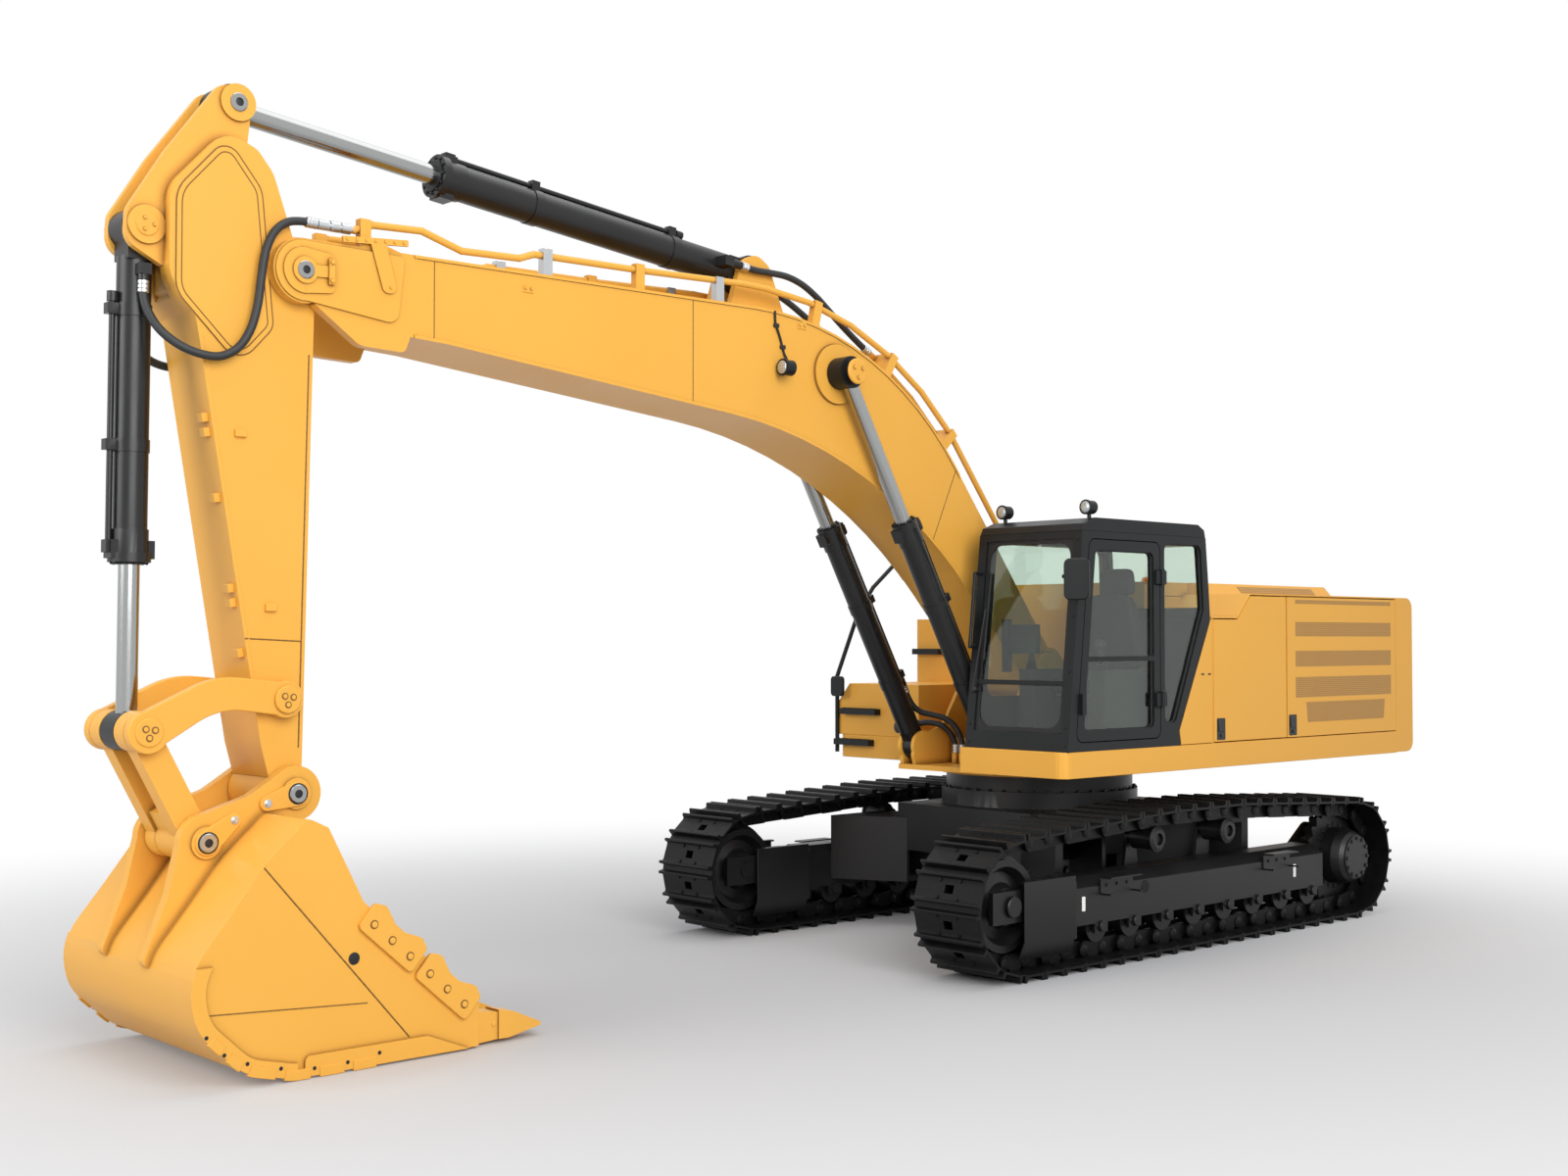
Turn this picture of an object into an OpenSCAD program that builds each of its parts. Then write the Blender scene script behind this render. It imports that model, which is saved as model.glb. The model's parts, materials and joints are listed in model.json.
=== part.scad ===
/* [Tracks] */
// Distance between the centre lines of the two tracks
track_gauge = 2740; // [2500:10:2900]
// Width of a track shoe
shoe_w = 600; // [500:10:800]
// Distance from the idler's centre to the sprocket's centre
wheel_base = 4360; // [4200:10:4500]
// Radius over the grouser tips at the idler and sprocket
track_tip_r = 505; // [495:1:520]
// Shoes in one track
shoe_count = 52; // [50:1:54]
// Thickness of a shoe's plate
shoe_plate_t = 16; // [12:1:20]
// Height of a grouser bar above the plate
grouser_h = 37; // [25:1:45]
// Width of a grouser bar
grouser_w = 26; // [18:1:34]
// Gap between neighbouring shoes
shoe_gap = 8; // [4:1:14]
// Height of the shoe plate's inner face over the chain pins
pin_to_shoe = 52; // [46:1:60]
// Depth of the link rail inside the chain pins
link_h = 65; // [55:1:75]
// Width of one link rail
rail_w = 60; // [45:1:70]
// Distance from the track's centre line to a rail's centre
rail_y = 90; // [85:1:100]
// Front carrier roller's position
carrier_front_x = 454; // [350:1:600]
// Rear carrier roller's position
carrier_rear_x = -462; // [-600:1:-350]
// Rise of the upper run over the carrier rollers
carrier_lift = 88; // [60:1:110]
// Radius of a carrier roller
carrier_r = 90; // [80:1:100]
// Radius of a bottom roller
roller_r = 105; // [95:1:115]
// Bottom rollers in one track
roller_count = 9; // [7:1:9]
// Distance between bottom rollers
roller_pitch = 400; // [360:5:410]
// Half the width of a track frame's beam
beam_half_w = 190; // [185:1:210]
// Thickness of a track frame's plates
beam_t = 25; // [15:1:35]

/* [Carbody] */
// Height of the swing bearing's lower face
bearing_z = 1130; // [1110:1:1150]
// Height of the swing bearing
bearing_h = 120; // [100:1:140]
// Outer radius of the swing bearing
bearing_r = 760; // [700:5:800]
// Thickness of the carbody's walls
carbody_t = 45; // [30:1:60]

/* [House] */
// Half the width of the house
house_half_w = 1495; // [1450:5:1550]
// Height of the skirt's lower edge
skirt_z = 1335; // [1330:1:1350]
// Height of the deck's upper face
deck_z = 1525; // [1500:1:1550]
// Front edge of the left deck
deck_front_x = 1530; // [1510:5:1600]
// Front edge of the right deck
right_front_x = 850; // [750:5:950]
// Depth of the counterweight behind the panels
tail_depth = 600; // [550:5:650]
// Radius of the tail swing
tail_r = 3700; // [3650:5:3750]
// Height of the counterweight's top
tail_top_z = 2700; // [2650:5:2750]
// Height of the panels' upper edge
panel_top_z = 2700; // [2690:5:2710]
// Height of the hood's top
hood_top_z = 2800; // [2770:5:2840]
// Thickness of doors and panels
panel_t = 40; // [30:1:50]
// Gap round a door
door_gap = 8; // [6:1:12]

/* [Cab] */
// Right face of the cab
cab_y = 515; // [505:1:540]
// Height of the cab roof's top
cab_top_z = 3220; // [3180:5:3260]
// Thickness of the cab's walls
cab_wall = 60; // [50:1:70]
// Rear edge of the door
cab_door_x = 385; // [350:1:420]
// Thickness of the glass
glass_t = 8; // [6:1:12]

/* [Boom] */
// Boom foot pin, forward of the swing axis
boom_foot_x = 330; // [310:1:350]
// Boom foot pin, height
boom_foot_z = 2075; // [2060:1:2090]
// Half the width of the boom
boom_half_w = 300; // [290:1:304]
// Thickness of the boom's side plates
boom_side_t = 14; // [10:1:20]
// Thickness of the boom's top and bottom plates
boom_cap_t = 18; // [12:1:24]
// Half the gap between the ears at the boom's nose
nose_gap = 232; // [230:1:236]
// Distance from the centre line to a boom cylinder
boom_cyl_y = 400; // [398:1:405]
// Radius of a boom cylinder's barrel
boom_barrel_r = 86; // [80:1:88]
// Radius of a boom cylinder's rod
boom_rod_r = 57; // [50:1:62]

/* [Stick] */
// Half the width of the stick's box
stick_half_w = 222; // [210:1:224]
// Thickness of the stick's plates
stick_t = 16; // [10:1:22]
// Half the gap between the stick's upper lugs
lug_gap = 96; // [94:1:100]
// Thickness of an upper lug
lug_t = 50; // [40:1:60]
// Radius of the stick cylinder's barrel
stick_barrel_r = 110; // [100:1:118]
// Radius of the stick cylinder's rod
stick_rod_r = 62; // [55:1:68]
// Radius of the bucket cylinder's barrel
bucket_barrel_r = 92; // [84:1:94]
// Radius of the bucket cylinder's rod
bucket_rod_r = 57; // [50:1:62]

/* [Bucket] */
// Half the width of the bucket
bucket_half_w = 820; // [760:5:860]
// Thickness of the bucket's side plates
bucket_side_t = 30; // [20:1:40]
// Thickness of the bucket's wrapper
wrapper_t = 26; // [18:1:34]
// Teeth on the bucket's lip
tooth_count = 5; // [4:1:6]
// Inner face of a bucket ear
ear_y = 236; // [234:1:242]
// Thickness of a bucket ear
ear_t = 70; // [50:1:90]

/* [Hidden] */
$fn = 48;
paint_yellow = "#e8a93a";
frame_black = "#1b1c1d";
trim_black = "#26282a";
hose_black = "#202122";
chrome_grey = "#c9ccd0";
// Clearances: a pin in its bore, a face that turns on another
pin_gap = 0.1;
turn_gap = 0.3;

// Track loop
half_base = wheel_base / 2;
tail_x = tail_depth - tail_r;
half_gauge = track_gauge / 2;
wheel_z = track_tip_r;
plate_out = pin_to_shoe + shoe_plate_t;
tip_out = plate_out + grouser_h;
pitch_r = track_tip_r - tip_out;
rail_r = pitch_r - link_h;
carrier_pitch_r = carrier_r + link_h;
carrier_z = wheel_z + pitch_r + carrier_lift - carrier_pitch_r;
idler_c = [half_base, wheel_z];
sprocket_c = [-half_base, wheel_z];
carrier_front_c = [carrier_front_x, carrier_z];
carrier_rear_c = [carrier_rear_x, carrier_z];
front_slope = run_slope(half_base - carrier_front_x);
rear_slope = run_slope(half_base + carrier_rear_x);
motor_r = 170;
roller_z = track_tip_r - pitch_r + link_h + roller_r;
beam_bottom_z = roller_z + 25;
beam_top_z = roller_z + 360;

// Pins of the working arm, in the plane of symmetry
pin_foot = [boom_foot_x, boom_foot_z];
pin_boom_cyl = [1050, 1480];
pin_boom_rod = [2630, 4245];
pin_stick = [6841, 4425];
pin_stick_cyl = [3270, 4920];
pin_stick_rod = [7173, 5350];
pin_bucket_cyl = [7695, 4582];
pin_bucket = [6868, 1468];
pin_side_link = [6922, 1997];
pin_link_end = [7716, 1838];
pin_power_link = [7397, 1232];
main_pin_r = 55;
// Free hoses: their radius, the fittings that they meet, and their routes on the left side
hose_r = 24;
fitting_r = hose_r + 6;
stick_port_x = 180;
stick_port_y = 185;
bucket_port_x = 300;
bucket_port_y = 124;
boom_port_x = 250;
boom_port_y = 45;
hose_foot_z = 1420;
bucket_hose_pts = [[6741, 262, 4712], [6840, 262, 4712], [6930, 264, 4690], [7010, 272, 4620],
    [7065, 282, 4500],
    [7090, 284, 4350], [7110, 284, 4200], [7150, 284, 4060], [7220, 284, 3950], [7320, 282, 3890],
    [7430, 270, 3890],
    [7540, 240, 3930], [7630, 190, 4010], [7680, 145, 4110], [7697, 124, 4200], [7697, 124, 4281.5]];
stick_hose_pts = [[3448, 185, 4940], [3320, 185, 4926], [3170, 185, 4926], [3000, 180, 4922],
    [2840, 168, 4888],
    [2690, 152, 4825], [2550, 136, 4745], [2420, 122, 4665], [2300, 116, 4592], [2190, 115, 4525],
    [2103, 115, 4477]];
lower_boom_hose_pts = [[1077, 445, 1752], [1036, 445, 1680], [1000, 412, 1658], [950, 348, 1664],
    [888, 272, 1640], [832, 228, 1575], [804, 205, 1500], [800, 200, 1460], [800, 200, 1420.5]];
upper_boom_hose_pts = [[1201, 400, 1969], [1151, 400, 1882], [1100, 387, 1802], [1038, 358, 1752],
    [965, 304, 1728], [892, 236, 1700], [835, 172, 1630], [804, 138, 1530], [798, 130, 1460], [798, 130, 1420.5]];
foot_pin_r = 60;
web_y = boom_half_w + 12;
web_t = 33;
frame_half_w = 500;
cyl_eye_half = 50;
lug_outer_y = boom_cyl_y + cyl_eye_half + 5;

function unit(v) = v / norm(v);
function sum(v, n) = n < 0 ? 0 : v[n] + sum(v, n - 1);
function polar(c, r, a) = c + r * [cos(a), sin(a)];
function cross2(a, b) = a.x * b.y - a.y * b.x;
function run_slope(d) = atan2(carrier_z - wheel_z, d)
    + asin((carrier_pitch_r - pitch_r) / norm([d, carrier_z - wheel_z]));
function flat(p) = [p.x, p.y];

// An outline of [x, z, radius] corners, each rounded by an arc
function corner_arc(p, c, n, r, steps) =
    let (u = unit(p - c), v = unit(n - c), half = acos(u * v) / 2, m = c + unit(u + v) * r / sin(half),
        a = c + u * r / tan(half) - m, b = c + v * r / tan(half) - m,
        start = atan2(a.y, a.x), turn = atan2(cross2(a, b), a * b))
    [for (i = [0 : steps]) polar(m, r, start + turn * i / steps)];
function rounded(pts, steps = 4) = let (n = len(pts)) [for (i = [0 : n - 1])
    each pts[i][2] > 0
        ? corner_arc(flat(pts[(i + n - 1) % n]), flat(pts[i]), flat(pts[(i + 1) % n]), pts[i][2], steps)
        : [flat(pts[i])]];
function arc_centre(p, c, n) = let (u = unit(flat(p) - flat(c)), v = unit(flat(n) - flat(c)))
    flat(c) + unit(u + v) * c[2] / sin(acos(u * v) / 2);
// The outline with each edge moved to its left by d: inward on a counterclockwise outline
function edge_shift(a, b, d) = let (t = unit(b - a)) [-t.y, t.x] * d;
function meet(a, u, b, v) = a + u * cross2(b - a, v) / cross2(u, v);
function inset(pts, d) = let (n = len(pts)) [for (i = [0 : n - 1])
    let (p = pts[(i + n - 1) % n], c = pts[i], q = pts[(i + 1) % n], s = edge_shift(p, c, d),
        e = edge_shift(c, q, d))
    abs(cross2(unit(c - p), unit(q - c))) < 0.001 ? c + e : meet(p + s, c - p, c + e, q - c)];

// A point at length s along the track's pitch loop, counterclockwise from under the idler
loop_parts = [
    pitch_r * (180 - front_slope) * PI / 180,
    norm(polar(idler_c, pitch_r, 90 - front_slope) - polar(carrier_front_c, carrier_pitch_r,
        90 - front_slope)),
    carrier_pitch_r * front_slope * PI / 180,
    carrier_front_x - carrier_rear_x,
    carrier_pitch_r * rear_slope * PI / 180,
    norm(polar(sprocket_c, pitch_r, 90 + rear_slope) - polar(carrier_rear_c, carrier_pitch_r,
        90 + rear_slope)),
    pitch_r * (180 - rear_slope) * PI / 180,
    wheel_base];
loop_len = sum(loop_parts, len(loop_parts) - 1);
// A straight link dips inside the pitch circle by this much at its middle
link_dip = pitch_r - sqrt(pow(pitch_r, 2) - pow(loop_len / shoe_count / 2, 2));
idler_tread_r = rail_r - link_dip - turn_gap;
function part_at(s, i = 0) = i == len(loop_parts) - 1 || s < sum(loop_parts, i) ? i : part_at(s, i + 1);
function on_arc(c, r, a, s) = polar(c, r, a + s / r * 180 / PI);
function on_line(a, b, s) = a + unit(b - a) * s;
function loop_at(s) = let (i = part_at(s), d = s - sum(loop_parts, i - 1))
    i == 0 ? on_arc(idler_c, pitch_r, -90, d)
    : i == 1 ? on_line(polar(idler_c, pitch_r, 90 - front_slope),
        polar(carrier_front_c, carrier_pitch_r, 90 - front_slope), d)
    : i == 2 ? on_arc(carrier_front_c, carrier_pitch_r, 90 - front_slope, d)
    : i == 3 ? carrier_front_c + [-d, carrier_pitch_r]
    : i == 4 ? on_arc(carrier_rear_c, carrier_pitch_r, 90, d)
    : i == 5 ? on_line(polar(carrier_rear_c, carrier_pitch_r, 90 + rear_slope),
        polar(sprocket_c, pitch_r, 90 + rear_slope), d)
    : i == 6 ? on_arc(sprocket_c, pitch_r, 90 + rear_slope, d)
    : sprocket_c + [d, -pitch_r];
track_pins = [for (k = [0 : shoe_count - 1]) loop_at(k * loop_len / shoe_count)];
function shoe_points(a, b) = let (t = unit(b - a), n = [t.y, -t.x], l = norm(b - a), g = shoe_gap / 2)
    [for (q = [[g, plate_out], [g, tip_out], [g + grouser_w, tip_out], [g + grouser_w, plate_out],
        [l - g - grouser_w, plate_out], [l - g - grouser_w, tip_out], [l - g, tip_out], [l - g, plate_out]])
        a + t * q.x + n * q.y];
shoe_outline = [for (k = [0 : shoe_count - 1]) each shoe_points(track_pins[k],
    track_pins[(k + 1) % shoe_count])];
function bends(p, c, q) = abs(cross2(unit(c - p), unit(q - c))) > 0.001;
chain_pins = [for (k = [0 : shoe_count - 1])
    let (p = track_pins[(k + shoe_count - 1) % shoe_count], q = track_pins[(k + 1) % shoe_count])
    if (bends(p, track_pins[k], q)) track_pins[k]];
shoe_inner = inset(chain_pins, -pin_to_shoe);

// A flat outline in x and z, as thick as from y0 to y1
module xz(y0, y1) {
    translate([0, y1, 0]) rotate([90, 0, 0]) linear_extrude(y1 - y0) children();
}
module box(a, b) {
    translate(a) cube(b - a);
}
// A round bar across the machine
module bar(p, r, y0, y1) {
    xz(y0, y1) translate(p) circle(r);
}
// Children drawn along +X from p are turned to point at q
module aim(p, q, y = 0) {
    translate([p.x, y, p.y]) rotate([0, -atan2(q.y - p.y, q.x - p.x), 0]) children();
}
module tube_x(r, x0, x1) {
    translate([x0, 0, 0]) rotate([0, 90, 0]) cylinder(r = r, h = x1 - x0);
}
module pair() {
    children();
    mirror([0, 1, 0]) children();
}
module ring_2d(outer, inner) {
    difference() {
        polygon(outer);
        polygon(inner);
    }
}

body_half_l = 950;
body_half_w = 700;
body_low_z = 620;
body_top_z = 1000;
leg_top_z = 880;
module carbody() {
    leg_y = half_gauge - beam_half_w;
    leg_low_z = beam_bottom_z + 60;
    color(frame_black) {
        difference() {
            union() {
                box([-body_half_l, -body_half_w, body_low_z], [body_half_l, body_half_w, body_top_z]);
                translate([0, 0, body_top_z]) cylinder(r = bearing_r + 40, h = bearing_z - body_top_z);
                for (sx = [-1, 1]) for (sy = [-1, 1]) mirror([sx < 0 ? 1 : 0, 0, 0])
                    mirror([0, sy < 0 ? 1 : 0, 0]) leg(leg_y, leg_low_z);
            }
            box([carbody_t - body_half_l, carbody_t - body_half_w, body_low_z - 1],
                [body_half_l - carbody_t, body_half_w - carbody_t, body_top_z - carbody_t]);
            translate([0, 0, leg_top_z]) cylinder(r = bearing_r - 150, h = bearing_z);
        }
    }
}
module leg(reach, low_z) {
    difference() {
        translate([0, 0, low_z]) linear_extrude(leg_top_z - low_z)
            polygon([[250, 600], [body_half_l, 600], [1250, reach], [650, reach]]);
        translate([0, 0, low_z + carbody_t]) linear_extrude(leg_top_z - low_z - 2 * carbody_t)
            polygon([[250 + 2 * carbody_t, 560], [body_half_l - carbody_t, 560],
                [1250 - 2 * carbody_t, reach + 1],
                [650 + carbody_t, reach + 1]]);
    }
}

module swing_bearing() {
    color(frame_black) translate([0, 0, bearing_z]) difference() {
        cylinder(r = bearing_r, h = bearing_h - turn_gap);
        translate([0, 0, -1]) cylinder(r = bearing_r - 130, h = bearing_h + 2);
    }
}

module track_loop() {
    xz(half_gauge - shoe_w / 2, half_gauge + shoe_w / 2) ring_2d(shoe_outline, shoe_inner);
    for (s = [-1, 1]) xz(half_gauge + s * rail_y - rail_w / 2, half_gauge + s * rail_y + rail_w / 2)
        ring_2d(inset(chain_pins, -pin_to_shoe - shoe_plate_t / 2), inset(chain_pins, link_h));
}
module track_left() {
    color(frame_black) track_loop();
}
module track_right() {
    color(frame_black) mirror([0, 1, 0]) track_loop();
}

idler_plate_x = 2380;
module track_frames() {
    color(frame_black) pair() track_frame();
}
module track_frame() {
    y0 = half_gauge - beam_half_w;
    y1 = half_gauge + beam_half_w;
    front_x = 1480;
    rear_x = -1760;
    guard_x = half_base - idler_tread_r - 60;
    difference() {
        union() {
            // Beam with a roof-shaped top, open below over the rollers
            translate([rear_x, half_gauge, 0]) rotate([90, 0, 90]) linear_extrude(front_x - rear_x)
                polygon([[-beam_half_w, beam_bottom_z], [beam_half_w, beam_bottom_z],
                    [beam_half_w, beam_top_z - 70], [90, beam_top_z], [-90, beam_top_z],
                    [-beam_half_w, beam_top_z - 70]]);
            // Idler yoke and its guard box
            box([front_x, y0, roller_z - 60], [guard_x, y1, beam_top_z - 20]);
            for (y = [y0, y1 - 40]) box([guard_x, y, wheel_z - 110],
                [idler_plate_x, y + 40, wheel_z + 110]);
            // Sprocket end plate on the inner side
            xz(y0, y0 + 40) polygon(rounded([[rear_x, beam_bottom_z, 0], [rear_x, beam_top_z - 70, 0],
                [-half_base + 100, wheel_z + 280, 120], [-half_base - 300, wheel_z + 180, 160],
                [-half_base - 300, wheel_z - 180, 160], [-half_base + 100, wheel_z - 260, 120]]));
            // Roller collars
            for (i = [0 : roller_count - 1]) for (y = [y0, y1 - beam_t])
                box([roller_x(i) - 75, y, roller_z - 45], [roller_x(i) + 75, y + beam_t, beam_bottom_z]);
            for (c = [carrier_front_c, carrier_rear_c]) carrier_post(c);
            for (x = step_xs) step_bracket(x, y1);
        }
        box([rear_x + beam_t, y0 + beam_t, 0], [front_x + 1, y1 - beam_t, beam_bottom_z + 100]);
        box([rear_x + beam_t, y0 + beam_t, beam_bottom_z + 99],
            [front_x - 300, y1 - beam_t, beam_top_z - 100]);
        box([front_x - 1, y0 + 40, 0], [guard_x + 1, y1 - 40, beam_top_z - 60]);
        for (i = [0 : roller_count - 1]) bar([roller_x(i), roller_z], roller_shaft_r, y0 - 1, y1 + 1);
        bar(idler_c, idler_shaft_r, y0 - 1, y1 + 1);
        bar(sprocket_c, motor_r + pin_gap, y0 - 1, y0 + 41);
    }
}
step_xs = [1030, -1060];
step_depth = 100;
module step_bracket(x, y) {
    half = 190;
    low_z = 500;
    high_z = 630;
    plate = 12;
    difference() {
        xz(y - 1, y + step_depth) polygon(rounded([[x - half, low_z, 0], [x + half, low_z, 0],
            [x + half, high_z, 20], [x - half, high_z, 20]]));
        box([x - half - 1, y + plate, low_z + plate], [x + half + 1, y + step_depth + 1, high_z - plate]);
        box([x - half + 20, y + plate - 1, low_z - 1], [x + half - 20, y + step_depth + 1,
            low_z + plate + 1]);
    }
}
function roller_x(i) = (i - (roller_count - 1) / 2) * roller_pitch;
module carrier_post(c) {
    xz(half_gauge - 130, half_gauge - 100) polygon([[c.x - 90, beam_top_z - 40],
        [c.x + 90, beam_top_z - 40],
        [c.x + 50, c.y], [c.x - 50, c.y]]);
    bar(c, carrier_shaft_r, half_gauge - 130, half_gauge + 130);
}

roller_shaft_r = 40;
carrier_shaft_r = 45;
idler_shaft_r = 60;
shaft_fit = 0.05;
shaft_r = roller_shaft_r - shaft_fit;
module roller(r, shaft) {
    flange = r + 14;
    edge = rail_y + rail_w / 2 + 5;
    rotate([-90, 0, 0]) rotate_extrude() polygon([[0, -shaft], [shaft_r, -shaft], [shaft_r, -edge - 20],
        [flange, -edge - 20], [flange, -edge], [r, -edge], [r, -rail_y + 40], [r - 22, -rail_y + 55],
        [r - 22, rail_y - 55], [r, rail_y - 40], [r, edge], [flange, edge], [flange, edge + 20],
        [shaft_r, edge + 20], [shaft_r, shaft], [0, shaft]]);
}
module track_rollers() {
    color(frame_black) pair() {
        for (i = [0 : roller_count - 1]) translate([roller_x(i), half_gauge, roller_z])
            roller(roller_r - turn_gap, beam_half_w + 12);
        for (c = [carrier_front_c, carrier_rear_c]) translate([c.x, half_gauge, c.y]) carrier_roller();
    }
}
module carrier_roller() {
    tread_r = carrier_r - 4;
    rotate([-90, 0, 0]) rotate_extrude() polygon([[carrier_shaft_r + turn_gap, -80], [tread_r - 30, -80],
        [tread_r, -60],
        [tread_r, 125], [tread_r + 12, 125], [tread_r + 12, 145], [70, 160],
        [carrier_shaft_r + turn_gap, 160]]);
}

module idlers() {
    shaft = idler_shaft_r - shaft_fit;
    reach = beam_half_w + 15;
    r = idler_tread_r;
    half = [[r + 40, 42], [r, 50], [r, 125], [r - 50, 125], [r - 90, 60], [160, 80], [130, 140],
        [shaft, 140],
        [shaft, reach], [0, reach]];
    n = len(half) - 1;
    color(frame_black) pair() translate([half_base, half_gauge, wheel_z]) rotate([-90, 0,
        0]) rotate_extrude()
        polygon(concat([for (k = [0 : n]) [half[n - k].x, -half[n - k].y]], half));
}

drive_hub_r = 235;
module sprockets() {
    teeth = 23;
    color(frame_black) pair() xz(half_gauge - 38, half_gauge + 38) translate(sprocket_c) difference() {
        polygon([for (k = [0 : teeth - 1]) each [for (q = [[0, -34], [0.3, 12], [0.5, 12], [0.8, -34]])
            polar([0, 0], pitch_r + q.y, (k + q.x) * 360 / teeth)]]);
        circle(drive_hub_r);
    }
}

module final_drives() {
    flange_r = 280;
    y_in = -beam_half_w + 40;
    color(frame_black) pair() translate([-half_base, half_gauge, wheel_z]) rotate([-90, 0,
        0]) rotate_extrude()
        polygon([[0, y_in - 120], [motor_r - 20, y_in - 120], [motor_r, y_in - 40], [motor_r, y_in],
            [flange_r, y_in], [flange_r, -100], [drive_hub_r, -90], [drive_hub_r, 150], [210, 215],
            [185, 245], [100, 258], [0, 258]]);
}

floor_t = 40;
frame_front_x = 1150;
frame_rear_x = tail_x + 60;
module main_frame() {
    base_z = bearing_z + bearing_h;
    hub_r = bearing_r - 130;
    sunk = floor_t / 2;
    web_top_z = 1640;
    foot_boss_r = 150;
    foot_boss_t = 25;
    cyl_boss_r = 122;
    lug_t_low = 35;
    web = rounded([[frame_rear_x + 10, skirt_z - sunk, 0], [frame_front_x - 10, skirt_z - sunk, 0],
        [frame_front_x + 30, 1430, 60], [pin_boom_cyl.x - 60, 1590, 60], [820, web_top_z, 200],
        [boom_foot_x + 215, boom_foot_z - 20, 60], [boom_foot_x + 120, boom_foot_z + 190, 120],
        [boom_foot_x - 120, boom_foot_z + 190, 120], [-100, 1950, 300], [-500, web_top_z, 300],
        [frame_rear_x + 10, web_top_z, 0]]);
    color(paint_yellow) {
        difference() {
            union() {
                translate([0, 0, base_z]) cylinder(r = bearing_r + 60, h = skirt_z - base_z - sunk);
                box([frame_rear_x, -frame_half_w, skirt_z - floor_t],
                    [frame_front_x, frame_half_w, skirt_z]);
            }
            translate([0, 0, base_z - 1]) cylinder(r = hub_r, h = skirt_z);
        }
        pair() {
            xz(web_y, web_y + web_t) union() {
                polygon(web);
                translate(pin_boom_cyl) circle(cyl_boss_r);
            }
            bar(pin_foot, foot_boss_r, web_y + web_t / 2, web_y + web_t + foot_boss_t);
            bar(pin_boom_cyl, main_pin_r, web_y + web_t / 2, lug_outer_y + lug_t_low + 1);
            xz(lug_outer_y, lug_outer_y + lug_t_low) union() {
                translate(pin_boom_cyl) circle(cyl_boss_r);
                polygon([[910, skirt_z - sunk], [frame_front_x - 10, skirt_z - sunk],
                    pin_boom_cyl + [cyl_boss_r - 20, 40], pin_boom_cyl + [20 - cyl_boss_r, 40]]);
            }
        }
        bar(pin_foot, foot_pin_r, -web_y - 1, web_y + 1);
        // Fittings of the boom cylinders' hoses
        pair() for (pts = [lower_boom_hose_pts, upper_boom_hose_pts]) let (p = pts[len(pts) - 1])
            translate([p.x, p.y, skirt_z - sunk]) cylinder(r = fitting_r, h = hose_foot_z - skirt_z + sunk);
        for (x = [-2600, -1500, -650, 700]) box([x, -web_y - 1, skirt_z - sunk],
            [x + 30, web_y + 1, skirt_z + 200]);
    }
}

module deck() {
    color(paint_yellow) {
        deck_tray(deck_front_x);
        mirror([0, 1, 0]) deck_tray(right_front_x);
    }
}
module deck_tray(front_x) {
    wall = 14;
    inner_y = frame_half_w;
    difference() {
        translate([0, 0, skirt_z]) linear_extrude(deck_z - skirt_z) polygon(rounded([[tail_x, inner_y, 0],
            [front_x, inner_y, 0], [front_x, house_half_w, 80], [tail_x, house_half_w, 0]]));
        translate([0, 0, skirt_z - 1]) linear_extrude(deck_z - skirt_z - wall + 1) polygon(rounded([
            [tail_x + wall, inner_y + wall, 0], [front_x - wall, inner_y + wall, 0],
            [front_x - wall, house_half_w - wall, 66], [tail_x + wall, house_half_w - wall, 0]]));
    }
}

module counterweight() {
    low_z = 1340;
    edge = 90;
    back_wall = 280;
    side_wall = 445;
    lift_thread_r = 21;
    lift_depth = 60;
    inner_r = tail_r - 2 * tail_depth;
    color(paint_yellow) difference() {
        intersection() {
            rotate_extrude($fn = 96) polygon(rounded([[inner_r, low_z, 0], [tail_r, low_z, edge],
                [tail_r, tail_top_z, edge], [inner_r, tail_top_z, 0]], 6));
            box([-tail_r - 1, -house_half_w, 0], [tail_x, house_half_w, 4000]);
        }
        box([back_wall - tail_r, side_wall - house_half_w, low_z + 200],
            [tail_x + 1, house_half_w - side_wall, tail_top_z - 180]);
        for (s = [-1, 1]) translate([tail_x - 200, s * 650, tail_top_z - lift_depth])
            cylinder(r = lift_thread_r, h = lift_depth + 1);
    }
}

module engine_block() {
    x0 = -2750;
    x1 = -1500;
    half_w = 500;
    low_z = 1640;
    top_z = 2640;
    wall = 40;
    color("#3b3e42") difference() {
        box([x0, -half_w, low_z], [x1, half_w, top_z]);
        box([x0 + wall, wall - half_w, low_z - 1], [x1 - wall, half_w - wall, top_z - 2 * wall]);
    }
}

post = 60;
roof_t = 12;
bulkhead_x = -300;
bulkhead_t = 10;
hood_x0 = tail_x + 200;
hood_x1 = -900;
hood_half_w = 1000;
left_split_x = -1350;
left_low_z = 2510;
inner_side_y = -560;
cover_y1 = 850;
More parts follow.
